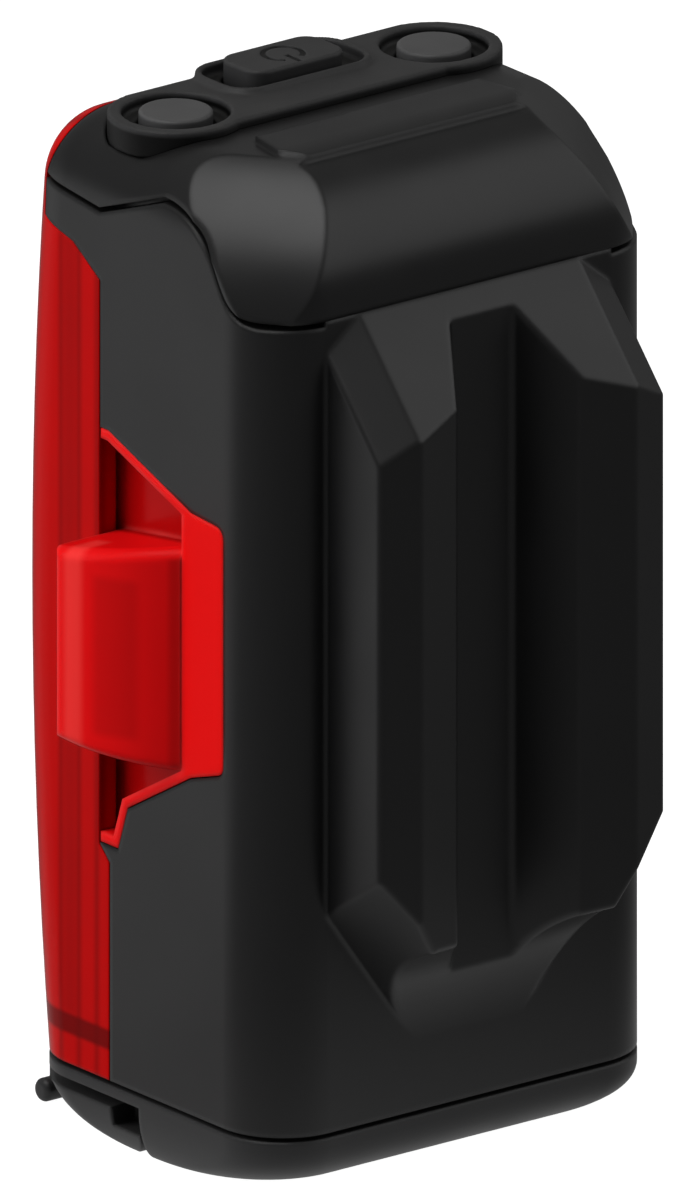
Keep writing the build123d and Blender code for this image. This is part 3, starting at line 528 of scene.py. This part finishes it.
BOARD_GREEN = Finish("board_green", (0.015, 0.10, 0.045), (0.5, 0.45, 0.3), roughness=0.3,
                     coat=0.3, grain_mm=0.6, mottle=0.25, rounding_mm=0.1)
SWITCH_METAL = Finish("switch_metal", (0.6, 0.6, 0.6), (0.8, 0.8, 0.8), roughness=0.35,
                      metallic=1.0, rounding_mm=0.1)
TRAY_PLASTIC = Finish("tray_plastic", (0.55, 0.55, 0.52), (0.7, 0.7, 0.68), roughness=0.5)
CELL_WRAP = Finish("cell_wrap", (0.42, 0.44, 0.48), (0.6, 0.6, 0.62), roughness=0.25, metallic=0.6,
                   grain_mm=3.0, grain_depth=0.4, mottle=0.12)
PAD_FOAM = Finish("pad_foam", (0.06, 0.06, 0.06), (0.1, 0.1, 0.1), roughness=0.9, specular=0.1,
                  grain_mm=0.5, grain_depth=0.8)
TAB_NICKEL = Finish("tab_nickel", (0.6, 0.57, 0.52), (0.8, 0.78, 0.74), roughness=0.3, metallic=1.0)
CHIP_BLACK = Finish("chip_black", (0.015, 0.015, 0.016), (0.06, 0.06, 0.06), roughness=0.45)
SPACER_PLASTIC = Finish("spacer_plastic", (0.5, 0.5, 0.47), (0.7, 0.7, 0.66), roughness=0.5)
LAMP_BOARD_WHITE = Finish("lamp_board_white", (0.72, 0.72, 0.7), (0.8, 0.8, 0.8), roughness=0.35,
                          coat=0.2, grain_mm=0.6)
LAMP_RESIN = Finish("lamp_resin", (0.8, 0.72, 0.4), (0.9, 0.85, 0.6), roughness=0.2, specular=0.6)
REFLECTOR_SILVER = Finish("reflector_silver", (0.82, 0.82, 0.84), (0.9, 0.9, 0.9), roughness=0.12,
                          metallic=1.0, grain_mm=0.8, dust=0.0)
DIFFUSER_CLEAR = Finish("diffuser_clear", (0.85, 0.8, 0.8), (0.9, 0.9, 0.9), roughness=0.35,
                        transmission=0.7, ior=1.45, dust=0.0)
SOCKET_STEEL = Finish("socket_steel", (0.5, 0.5, 0.52), (0.75, 0.75, 0.77), roughness=0.28,
                      metallic=1.0, rounding_mm=0.1)

NODE_FINISHES: dict[str, Finish] = {
    "rear_housing": CASE_BLACK, "top_cap": CASE_BLACK, "base_cap": COVER_BLACK,
    "front_lens": LENS_RED, "side_lens_right": SIDE_LENS_RED, "side_lens_left": SIDE_LENS_RED,
    "base_seal": SEAL_RUBBER, "base_screws": SCREW_STEEL, "port_cover": COVER_BLACK,
    "cover_pin": SCREW_STEEL, "keypad": KEYPAD_RUBBER, "power_key": POWER_RUBBER,
    "right_key": KEY_RUBBER, "left_key": KEY_RUBBER, "key_board": BOARD_GREEN,
    "key_switches": SWITCH_METAL, "key_board_screws": SCREW_STEEL, "battery_tray": TRAY_PLASTIC,
    "battery_cell": CELL_WRAP, "battery_pad": PAD_FOAM, "cell_tabs": TAB_NICKEL,
    "main_board": BOARD_GREEN, "board_chips": CHIP_BLACK, "board_spacers": SPACER_PLASTIC,
    "lamp_board": LAMP_BOARD_WHITE, "board_screws": SCREW_STEEL, "front_lamps": LAMP_RESIN,
    "reflector": REFLECTOR_SILVER, "diffuser": DIFFUSER_CLEAR, "side_board_right": BOARD_GREEN,
    "side_board_left": BOARD_GREEN, "side_lamps_right": LAMP_RESIN, "side_lamps_left": LAMP_RESIN,
    "charge_board": BOARD_GREEN, "charge_socket": SOCKET_STEEL}


def dress(obj: bpy.types.Object, finish: Finish) -> None:
    """Gives an object one finish on all its faces.

    Args:
        obj: the object to dress.
        finish: the finish it gets.
    """
    material = finish.material()
    if not obj.material_slots:
        obj.data.materials.append(material)
    for slot in obj.material_slots:
        slot.material = material


@dataclass(frozen=True)
class Softbox:
    """A soft rectangular lamp that points at the light."""

    name: str
    azimuth: float
    elevation: float
    distance_m: float
    size_m: tuple[float, float]
    radiance: float
    mirrored: bool = True
    aim_height_m: float = 0.04

    def hang(self) -> None:
        """Hangs the lamp."""
        turn, rise = math.radians(self.azimuth), math.radians(self.elevation)
        way = Vector((math.cos(rise) * math.cos(turn), math.cos(rise) * math.sin(turn),
                      math.sin(rise)))
        data = bpy.data.lights.new(self.name, "AREA")
        data.shape = "RECTANGLE"
        data.size, data.size_y = self.size_m
        data.energy = self.radiance * math.pi * data.size * data.size_y
        lamp = bpy.data.objects.new(self.name, data)
        lamp.visible_glossy = self.mirrored
        bpy.context.scene.collection.objects.link(lamp)
        lamp.location = way * self.distance_m + Vector((0.0, 0.0, self.aim_height_m))
        lamp.rotation_mode = "QUATERNION"
        lamp.rotation_quaternion = (-way).to_track_quat("-Z", "Y")


@dataclass
class Studio:
    """The floor, the white surroundings, the soft lamps and the camera of the photograph."""

    pixel_mm: float = 0.0754
    frame_height_px: float = 1200.0
    centre_right_mm: float = -8.942
    centre_up_mm: float = 37.474
    right: tuple[float, float, float] = (-0.788, 0.616, 0.0)
    upward: tuple[float, float, float] = (-0.203, -0.26, 0.944)
    distance_m: float = 0.6
    floor_size_m: float = 6.0
    floor_segments: int = 8
    floor_roughness: float = 0.8
    floor_specular: float = 0.1
    floor_noise_scale: float = 3.0
    floor_swing: float = 0.02
    floor_tone: float = 0.22
    floor_seen: float = 1.0
    card_azimuth: float = -52.0
    card_low: float = 0.84
    card_high: float = 0.985
    card_tone: float = 0.30
    near_tone: float = 0.44
    near_reach_m: float = 0.075
    surround: float = 0.19
    mirror_share: float = 0.12
    softboxes: tuple[Softbox, ...] = (
        Softbox("key_softbox", -30.0, 22.0, 0.6, (0.5, 0.5), 5.2, mirrored=False),
        Softbox("top_softbox", 4.0, 68.0, 0.55, (0.36, 0.36), 2.3),
        Softbox("rear_softbox", 142.0, 32.0, 0.8, (1.0, 0.75), 0.75))

    def build(self) -> None:
        """Builds everything that isn't the object."""
        self.camera()
        self.floor()
        self.world()
        for softbox in self.softboxes:
            softbox.hang()

    def camera(self) -> None:
        """Sets a level sighted camera with parallel rays at the photograph's angle."""
        data = bpy.data.cameras.new("photo_camera")
        data.type = "ORTHO"
        data.sensor_fit = "VERTICAL"
        data.ortho_scale = self.pixel_mm * self.frame_height_px * MM
        data.clip_start, data.clip_end = 0.01, 20.0
        camera = bpy.data.objects.new("photo_camera", data)
        bpy.context.scene.collection.objects.link(camera)
        right, upward = Vector(self.right).normalized(), Vector(self.upward).normalized()
        back = right.cross(upward).normalized()
        upward = back.cross(right)
        start = Vector((0, BACK_MM, SEAM_MM)) * MM
        spot = start + (right * self.centre_right_mm + upward * self.centre_up_mm) * MM
        spot = spot + back * self.distance_m
        turn = Matrix((right, upward, back)).transposed().to_4x4()
        camera.matrix_world = Matrix.Translation(spot) @ turn
        bpy.context.scene.camera = camera

    def floor(self) -> None:
        """Lays a plain pale floor under the object."""
        shape = bmesh.new()
        bmesh.ops.create_grid(shape, x_segments=self.floor_segments,
                              y_segments=self.floor_segments, size=self.floor_size_m / 2)
        data = bpy.data.meshes.new("floor")
        shape.to_mesh(data)
        shape.free()
        floor = bpy.data.objects.new("floor", data)
        bpy.context.scene.collection.objects.link(floor)
        material = bpy.data.materials.new("floor_white")
        material.use_nodes = True
        tree = material.node_tree
        shader = tree.nodes["Principled BSDF"]
        shader.inputs["Roughness"].default_value = self.floor_roughness
        shader.inputs["Specular IOR Level"].default_value = self.floor_specular
        noise = add_node(tree, "ShaderNodeTexNoise", in_Scale=self.floor_noise_scale)
        place = add_node(tree, "ShaderNodeTexCoord")
        tree.links.new(place.outputs["Object"], noise.inputs["Vector"])
        tint = add_node(tree, "ShaderNodeMapRange",
                        in_To_Min=self.floor_tone * (FULL - self.floor_swing),
                        in_To_Max=self.floor_tone * (FULL + self.floor_swing))
        tree.links.new(noise.outputs["Fac"], tint.inputs["Value"])
        tree.links.new(tint.outputs["Result"], shader.inputs["Base Color"])
        shader.inputs["Emission Color"].default_value = WHITE
        tree.links.new(self._floor_glow(tree, place.outputs["Object"]),
                       shader.inputs["Emission Strength"])
        data.materials.append(material)

    def _floor_glow(self, tree: bpy.types.NodeTree,
                    place: bpy.types.NodeSocket) -> bpy.types.NodeSocket:
        """White to the eye, and in gloss a pale card beside the light and a pale patch under it."""
        paths = add_node(tree, "ShaderNodeLightPath")
        seen = add_node(tree, "ShaderNodeMath", operation="MULTIPLY", in1=self.floor_seen)
        tree.links.new(paths.outputs["Is Camera Ray"], seen.inputs[0])
        turn = math.radians(self.card_azimuth)
        heading = add_node(tree, "ShaderNodeVectorMath", operation="NORMALIZE")
        along = add_node(tree, "ShaderNodeVectorMath", operation="DOT_PRODUCT",
                         in1=(math.cos(turn), math.sin(turn), 0.0))
        card = add_node(tree, "ShaderNodeMapRange", interpolation_type="SMOOTHSTEP",
                        in_From_Min=self.card_low, in_From_Max=self.card_high,
                        in_To_Max=self.card_tone)
        tree.links.new(place, heading.inputs[0])
        tree.links.new(heading.outputs["Vector"], along.inputs[0])
        tree.links.new(along.outputs["Value"], card.inputs["Value"])
        away = add_node(tree, "ShaderNodeVectorMath", operation="LENGTH")
        tree.links.new(place, away.inputs[0])
        near = add_node(tree, "ShaderNodeMapRange", interpolation_type="SMOOTHSTEP",
                        in_From_Max=self.near_reach_m, in_To_Min=self.near_tone, in_To_Max=0.0)
        tree.links.new(away.outputs["Value"], near.inputs["Value"])
        mirrored = add_node(tree, "ShaderNodeMath", operation="MAXIMUM")
        tree.links.new(card.outputs["Result"], mirrored.inputs[0])
        tree.links.new(near.outputs["Result"], mirrored.inputs[1])
        glossed = add_node(tree, "ShaderNodeMath", operation="MULTIPLY_ADD")
        tree.links.new(paths.outputs["Is Glossy Ray"], glossed.inputs[0])
        tree.links.new(mirrored.outputs[0], glossed.inputs[1])
        tree.links.new(seen.outputs[0], glossed.inputs[2])
        return glossed.outputs[0]

    def world(self) -> None:
        """Makes the surroundings white to the eye and through clear plastic, and plain grey as light."""
        world = bpy.data.worlds.new("studio")
        bpy.context.scene.world = world
        world.use_nodes = True
        tree = world.node_tree
        sky = tree.nodes["Background"]
        paths = add_node(tree, "ShaderNodeLightPath")
        mirror = add_node(tree, "ShaderNodeMath", operation="MULTIPLY", in1=self.mirror_share)
        tree.links.new(paths.outputs["Is Glossy Ray"], mirror.inputs[0])
        eye = add_node(tree, "ShaderNodeMath", operation="MAXIMUM")
        tree.links.new(paths.outputs["Is Camera Ray"], eye.inputs[0])
        tree.links.new(paths.outputs["Is Transmission Ray"], eye.inputs[1])
        seen = add_node(tree, "ShaderNodeMath", operation="MAXIMUM")
        tree.links.new(eye.outputs[0], seen.inputs[0])
        tree.links.new(mirror.outputs[0], seen.inputs[1])
        level = add_node(tree, "ShaderNodeMath", operation="MAXIMUM", in1=self.surround)
        tree.links.new(seen.outputs[0], level.inputs[0])
        sky.inputs["Color"].default_value = WHITE
        tree.links.new(level.outputs[0], sky.inputs["Strength"])


def grown_mesh(tree: bpy.types.NodeTree, values: dict[str, object]) -> bpy.types.Mesh:
    """Runs a geometry tree and keeps its result as a plain closed mesh.

    Args:
        tree: the geometry tree.
        values: its inputs by name.

    Returns:
        The mesh, with doubles merged and its faces outwards.
    """
    carrier = bpy.data.objects.new(tree.name, bpy.data.meshes.new(tree.name))
    bpy.context.scene.collection.objects.link(carrier)
    modifier = carrier.modifiers.new(tree.name, "NODES")
    modifier.node_group = tree
    for item in tree.interface.items_tree:
        if item.in_out == "INPUT" and item.name in values:
            modifier[item.identifier] = values[item.name]
    graph = bpy.context.evaluated_depsgraph_get()
    mesh = bpy.data.meshes.new_from_object(carrier.evaluated_get(graph))
    carrier.modifiers.remove(modifier)
    bpy.data.objects.remove(carrier)
    return closed_mesh(mesh)


def closed_mesh(mesh: bpy.types.Mesh) -> bpy.types.Mesh:
    """Merges a mesh's doubles and turns its faces outwards.

    Args:
        mesh: the mesh to mend.

    Returns:
        The same mesh.
    """
    shape = bmesh.new()
    shape.from_mesh(mesh)
    bmesh.ops.remove_doubles(shape, verts=shape.verts, dist=MERGE_M)
    bmesh.ops.recalc_face_normals(shape, faces=shape.faces)
    shape.to_mesh(mesh)
    shape.free()
    return mesh


def set_piece(name: str, mesh: bpy.types.Mesh, finish: Finish,
              stands_for: tuple[str, ...] = ()) -> bpy.types.Object:
    """Puts a piece on the housing.

    Args:
        name: the piece's name.
        mesh: its mesh, in place.
        finish: its finish.
        stands_for: the CAD nodes that it replaces.

    Returns:
        The new object.
    """
    piece = bpy.data.objects.new(name, mesh)
    bpy.context.scene.collection.objects.link(piece)
    dress(piece, finish)
    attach(piece, HOUSING)
    if stands_for:
        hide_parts(*stands_for)
    LOG.info("set %s with %d faces", name, len(mesh.polygons))
    return piece


class ShapeTree(TreeMaker):
    """A geometry tree that ends in real faces with a material."""

    def __init__(self, name: str, inputs: dict[str, tuple[Socket, object]]) -> None:
        """Makes the tree with its own inputs and one for the material.

        Args:
            name: the tree's name.
            inputs: socket name to its kind and default.
        """
        super().__init__(name, inputs | {"Material": (Socket.FINISH, None)},
                         {"Geometry": Socket.SHAPE}, TreeKind.GEOMETRY)

    def end(self, shape: bpy.types.NodeSocket, smooth: bool = True) -> bpy.types.NodeTree:
        """Ends the tree in Realize Instances and Set Material.

        Args:
            shape: the geometry so far.
            smooth: whether the faces are shaded smooth.

        Returns:
            The finished tree.
        """
        real = self.node("GeometryNodeRealizeInstances")
        shade = self.node("GeometryNodeSetShadeSmooth", in_Shade_Smooth=smooth)
        cover = self.node("GeometryNodeSetMaterial")
        self.join(shape, real.inputs[0])
        self.join(real.outputs[0], shade.inputs["Geometry"])
        self.join(shade.outputs[0], cover.inputs["Geometry"])
        self.join(self.given("Material"), cover.inputs["Material"])
        self.join(cover.outputs[0], self.sink.inputs["Geometry"])
        return self.tree

    def place(self, x: object, y: object, z: object) -> bpy.types.NodeSocket:
        """A vector from three sockets or numbers."""
        node = self.node("ShaderNodeCombineXYZ")
        for spot, value in enumerate((x, y, z)):
            if isinstance(value, bpy.types.NodeSocket):
                self.join(value, node.inputs[spot])
            else:
                node.inputs[spot].default_value = value
        return node.outputs[0]

    def swept(self, path: bpy.types.NodeSocket, profile: bpy.types.NodeSocket,
              caps: bool) -> bpy.types.NodeSocket:
        """A profile carried along a path."""
        sweep = self.node("GeometryNodeCurveToMesh", in_Fill_Caps=caps)
        self.join(path, sweep.inputs["Curve"])
        self.join(profile, sweep.inputs["Profile Curve"])
        return sweep.outputs[0]


@dataclass
class LensRibs:
    """The upright light spreading ribs on the inside of the front lens."""

    count: int = 13
    side_count: int = 3
    half_spread_mm: float = 13.2
    side_width_mm: float = 16.85
    side_front_mm: float = 27.4
    side_rear_mm: float = 23.4
    low_mm: float = 5.0
    high_mm: float = 61.5
    radius_mm: float = 0.42
    wall_mm: float = 1.6
    bow_mm: float = 2.1
    steps: int = 24
    section_steps: int = 10

    def tree(self) -> bpy.types.NodeTree:
        """The tree: a row of upright lines, bent to the lens's bow and given a round section."""
        maker = ShapeTree("lens_ribs", {
            "Front ribs": (Socket.WHOLE, self.count), "Side ribs": (Socket.WHOLE, self.side_count),
            "Half spread": (Socket.NUMBER, 0.0), "Front": (Socket.NUMBER, 0.0),
            "Side width": (Socket.NUMBER, 0.0), "Side front": (Socket.NUMBER, 0.0),
            "Side rear": (Socket.NUMBER, 0.0), "Low": (Socket.NUMBER, 0.0),
            "High": (Socket.NUMBER, 0.0), "Middle": (Socket.NUMBER, 0.0),
            "Half height": (Socket.NUMBER, 1.0), "Bow": (Socket.NUMBER, 0.0),
            "Radius": (Socket.NUMBER, 0.0)})
        reach = maker.given("Half spread")
        row = self._row(maker, "Front ribs",
                        maker.place(maker.sum("MULTIPLY", reach, -1.0), maker.given("Front"), 0.0),
                        maker.place(reach, maker.given("Front"), 0.0))
        joined = maker.node("GeometryNodeJoinGeometry")
        maker.join(self._bowed(maker, row), joined.inputs[0])
        for side in (-1.0, 1.0):
            wide = maker.sum("MULTIPLY", maker.given("Side width"), side)
            line = self._row(maker, "Side ribs", maker.place(wide, maker.given("Side front"), 0.0),
                             maker.place(wide, maker.given("Side rear"), 0.0))
            maker.join(line, joined.inputs[0])
        circle = maker.node("GeometryNodeCurvePrimitiveCircle", in_Resolution=self.section_steps)
        maker.join(maker.given("Radius"), circle.inputs["Radius"])
        return maker.end(maker.swept(joined.outputs[0], circle.outputs[0], True))

    def _row(self, maker: ShapeTree, count: str, start: bpy.types.NodeSocket,
             end: bpy.types.NodeSocket) -> bpy.types.NodeSocket:
        """A row of upright lines between two places."""
        points = maker.node("GeometryNodeMeshLine", mode="END_POINTS")
        maker.join(maker.given(count), points.inputs[0])
        maker.join(start, points.inputs[2])
        maker.join(end, points.inputs[3])
        line = maker.node("GeometryNodeCurvePrimitiveLine")
        maker.join(maker.place(0.0, 0.0, maker.given("Low")), line.inputs[0])
        maker.join(maker.place(0.0, 0.0, maker.given("High")), line.inputs[1])
        fine = maker.node("GeometryNodeResampleCurve", in_Count=self.steps)
        maker.join(line.outputs[0], fine.inputs["Curve"])
        copies = maker.node("GeometryNodeInstanceOnPoints")
        maker.join(points.outputs[0], copies.inputs["Points"])
        maker.join(fine.outputs[0], copies.inputs["Instance"])
        real = maker.node("GeometryNodeRealizeInstances")
        maker.join(copies.outputs[0], real.inputs[0])
        return real.outputs[0]

    def _bowed(self, maker: ShapeTree, row: bpy.types.NodeSocket) -> bpy.types.NodeSocket:
        """The row moved forward by the lens's bow, most at the middle height."""
        here = maker.node("GeometryNodeInputPosition")
        parts = maker.node("ShaderNodeSeparateXYZ")
        maker.join(here.outputs[0], parts.inputs[0])
        above = maker.sum("SUBTRACT", parts.outputs["Z"], maker.given("Middle"))
        share = maker.sum("DIVIDE", above, maker.given("Half height"))
        left = maker.sum("SUBTRACT", FULL, maker.sum("MULTIPLY", share, share))
        ahead = maker.sum("MULTIPLY", maker.sum("MULTIPLY", left, maker.given("Bow")), -1.0)
        move = maker.node("GeometryNodeSetPosition")
        maker.join(row, move.inputs["Geometry"])
        maker.join(maker.place(0.0, ahead, 0.0), move.inputs["Offset"])
        return move.outputs[0]

    def build(self) -> None:
        """Builds the ribs on the housing."""
        low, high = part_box("front_lens")
        front_mm = (BACK_MM - low[1] / MM) - self.bow_mm - self.wall_mm - self.radius_mm
        mesh = grown_mesh(self.tree(), {
            "Front ribs": self.count, "Side ribs": self.side_count,
            "Half spread": self.half_spread_mm * MM, "Front": (BACK_MM - front_mm) * MM,
            "Side width": self.side_width_mm * MM, "Side front": (BACK_MM - self.side_front_mm) * MM,
            "Side rear": (BACK_MM - self.side_rear_mm) * MM, "Low": (SEAM_MM + self.low_mm) * MM,
            "High": (SEAM_MM + self.high_mm) * MM, "Middle": (SEAM_MM * MM + high[2]) / 2,
            "Half height": (high[2] - SEAM_MM * MM) / 2, "Bow": self.bow_mm * MM,
            "Radius": self.radius_mm * MM, "Material": LENS_RED.material()})
        set_piece("lens_ribs", mesh, LENS_RED)


@dataclass
class SeamSeal:
    """The soft round edged seal that runs round the seam of the base."""

    corner_mm: float = 5.6
    setback_mm: float = 0.5
    width_mm: float = 1.15
    height_mm: float = 0.38
    corner_steps: int = 10
    edge_share: float = 0.45
    edge_steps: int = 4

    def tree(self) -> bpy.types.NodeTree:
        """The tree: a rounded strip carried round a rounded rectangle."""
        maker = ShapeTree("seam_seal", {
            "Length": (Socket.NUMBER, 1.0), "Width": (Socket.NUMBER, 1.0),
            "Corner": (Socket.NUMBER, 0.1), "Strip width": (Socket.NUMBER, 0.1),
            "Strip height": (Socket.NUMBER, 0.1)})
        path = self._rounded(maker, "Length", "Width", maker.given("Corner"), self.corner_steps)
        edge = maker.sum("MULTIPLY", maker.given("Strip height"), self.edge_share)
        profile = self._rounded(maker, "Strip width", "Strip height", edge, self.edge_steps)
        return maker.end(maker.swept(path, profile, False))

    def _rounded(self, maker: ShapeTree, long: str, wide: str, radius: bpy.types.NodeSocket,
                 steps: int) -> bpy.types.NodeSocket:
        """A rectangle with rounded corners."""
        frame_line = maker.node("GeometryNodeCurvePrimitiveQuadrilateral")
        maker.join(maker.given(long), frame_line.inputs[0])
        maker.join(maker.given(wide), frame_line.inputs[1])
        bend = maker.node("GeometryNodeFilletCurve", mode="POLY", in_Count=steps,
                          in_Limit_Radius=True)
        maker.join(frame_line.outputs[0], bend.inputs["Curve"])
        maker.join(radius, bend.inputs["Radius"])
        return bend.outputs[0]

    def build(self) -> None:
        """Builds the seal in place of the plain one."""
        low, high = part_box("base_seal")
        mesh = grown_mesh(self.tree(), {
            "Length": high[0] - low[0] - self.width_mm * MM,
            "Width": high[1] - low[1] - self.width_mm * MM,
            "Corner": (self.corner_mm - self.setback_mm - self.width_mm / 2) * MM,
            "Strip width": self.width_mm * MM, "Strip height": self.height_mm * MM,
            "Material": SEAL_RUBBER.material()})
        middle = [(a + b) / 2 for a, b in zip(low, high)]
        mesh.transform(Matrix.Translation(middle))
        set_piece("seam_seal", mesh, SEAL_RUBBER, stands_for=("base_seal",))


@dataclass
class SoftKeypad:
    """The keypad as one soft moulding with rounded edges."""

    voxel_mm: float = 0.16
    rounds: int = 7
    strength: float = 0.5

    def build(self) -> None:
        """Rounds a merged copy of the keypad and puts it in the keypad's place."""
        mesh = closed_mesh(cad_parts["keypad"].data.copy())
        carrier = bpy.data.objects.new("soft_keypad_form", mesh)
        bpy.context.scene.collection.objects.link(carrier)
        remesh = carrier.modifiers.new("even_faces", "REMESH")
        remesh.mode = "VOXEL"
        remesh.voxel_size = self.voxel_mm * MM
        remesh.use_smooth_shade = True
        smooth = carrier.modifiers.new("soft_edges", "SMOOTH")
        smooth.factor, smooth.iterations = self.strength, self.rounds
        graph = bpy.context.evaluated_depsgraph_get()
        soft = bpy.data.meshes.new_from_object(carrier.evaluated_get(graph))
        bpy.data.objects.remove(carrier)
        set_piece("soft_keypad", soft, KEYPAD_RUBBER, stands_for=("keypad",))


@dataclass
class BoardSolder:
    """Rows of small solder joints on the two upright boards."""

    columns: int = 2
    rows: int = 14
    radius_mm: float = 0.42
    rise_mm: float = 0.35
    side_margin_mm: float = 4.03
    column_mm: float = 29.6
    top_share: float = 0.35
    smallest_share: float = 0.8
    sides: int = 14
    bands: int = 3
    seed: int = 7

    def tree(self) -> bpy.types.NodeTree:
        """The tree: small cones with flat tops in a grid, each a little different in size."""
        maker = ShapeTree("board_solder", {
            "Columns": (Socket.WHOLE, 2), "Rows": (Socket.WHOLE, 2), "Width": (Socket.NUMBER, 1.0),
            "Height": (Socket.NUMBER, 1.0), "Radius": (Socket.NUMBER, 0.1),
            "Rise": (Socket.NUMBER, 0.1), "Seed": (Socket.WHOLE, 0)})
        grid = maker.node("GeometryNodeMeshGrid")
        for spot, label in enumerate(("Width", "Height", "Columns", "Rows")):
            maker.join(maker.given(label), grid.inputs[spot])
        joint = maker.node("GeometryNodeMeshCone", in_Vertices=self.sides,
                           in_Side_Segments=self.bands)
        maker.join(maker.sum("MULTIPLY", maker.given("Radius"), self.top_share),
                   joint.inputs["Radius Top"])
        maker.join(maker.given("Radius"), joint.inputs["Radius Bottom"])
        maker.join(maker.given("Rise"), joint.inputs["Depth"])
        spread = maker.node("FunctionNodeRandomValue", data_type="FLOAT", in2=self.smallest_share,
                            in3=FULL)
        maker.join(maker.given("Seed"), spread.inputs[8])
        copies = maker.node("GeometryNodeInstanceOnPoints")
        maker.join(grid.outputs["Mesh"], copies.inputs["Points"])
        maker.join(joint.outputs["Mesh"], copies.inputs["Instance"])
        maker.join(spread.outputs[1], copies.inputs["Scale"])
        return maker.end(copies.outputs[0], smooth=False)

    def build(self) -> None:
        """Builds the joints on the front of the main board and on the back of the lamp board."""
        tree = self.tree()
        for name, board, front in (("main_board_solder", "main_board", True),
                                   ("lamp_board_solder", "lamp_board", False)):
            low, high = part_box(board)
            turn = Matrix.Rotation(math.radians(90.0 if front else -90.0), 4, "X")
            level = low[1] if front else high[1]
            mesh = grown_mesh(tree, {
                "Columns": self.columns, "Rows": self.rows,
                "Width": high[0] - low[0] - 2 * self.side_margin_mm * MM,
                "Height": self.column_mm * MM, "Radius": self.radius_mm * MM,
                "Rise": self.rise_mm * MM, "Seed": self.seed, "Material": SCREW_STEEL.material()})
            middle = Vector(((low[0] + high[0]) / 2, level, (low[2] + high[2]) / 2))
            mesh.transform(Matrix.Translation(middle) @ turn)
            set_piece(name, mesh, SCREW_STEEL)


def dress_frame() -> None:
    """Gives every CAD node its finish."""
    for name, finish in NODE_FINISHES.items():
        dress(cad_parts[name], finish)
        LOG.info("dressed %s with %s", name, finish.name)


def main() -> None:
    """Builds the looks of the rear light, one sub-assembly after the other."""
    logging.basicConfig(level=logging.INFO, format="%(name)s: %(message)s")
    bpy.context.scene.view_settings.view_transform = "Standard"
    dress_frame()
    for assembly in (LensRibs(), SeamSeal(), SoftKeypad(), BoardSolder(), Studio()):
        LOG.info("building %s", type(assembly).__name__)
        assembly.build()


if __name__ == "__main__":
    main()
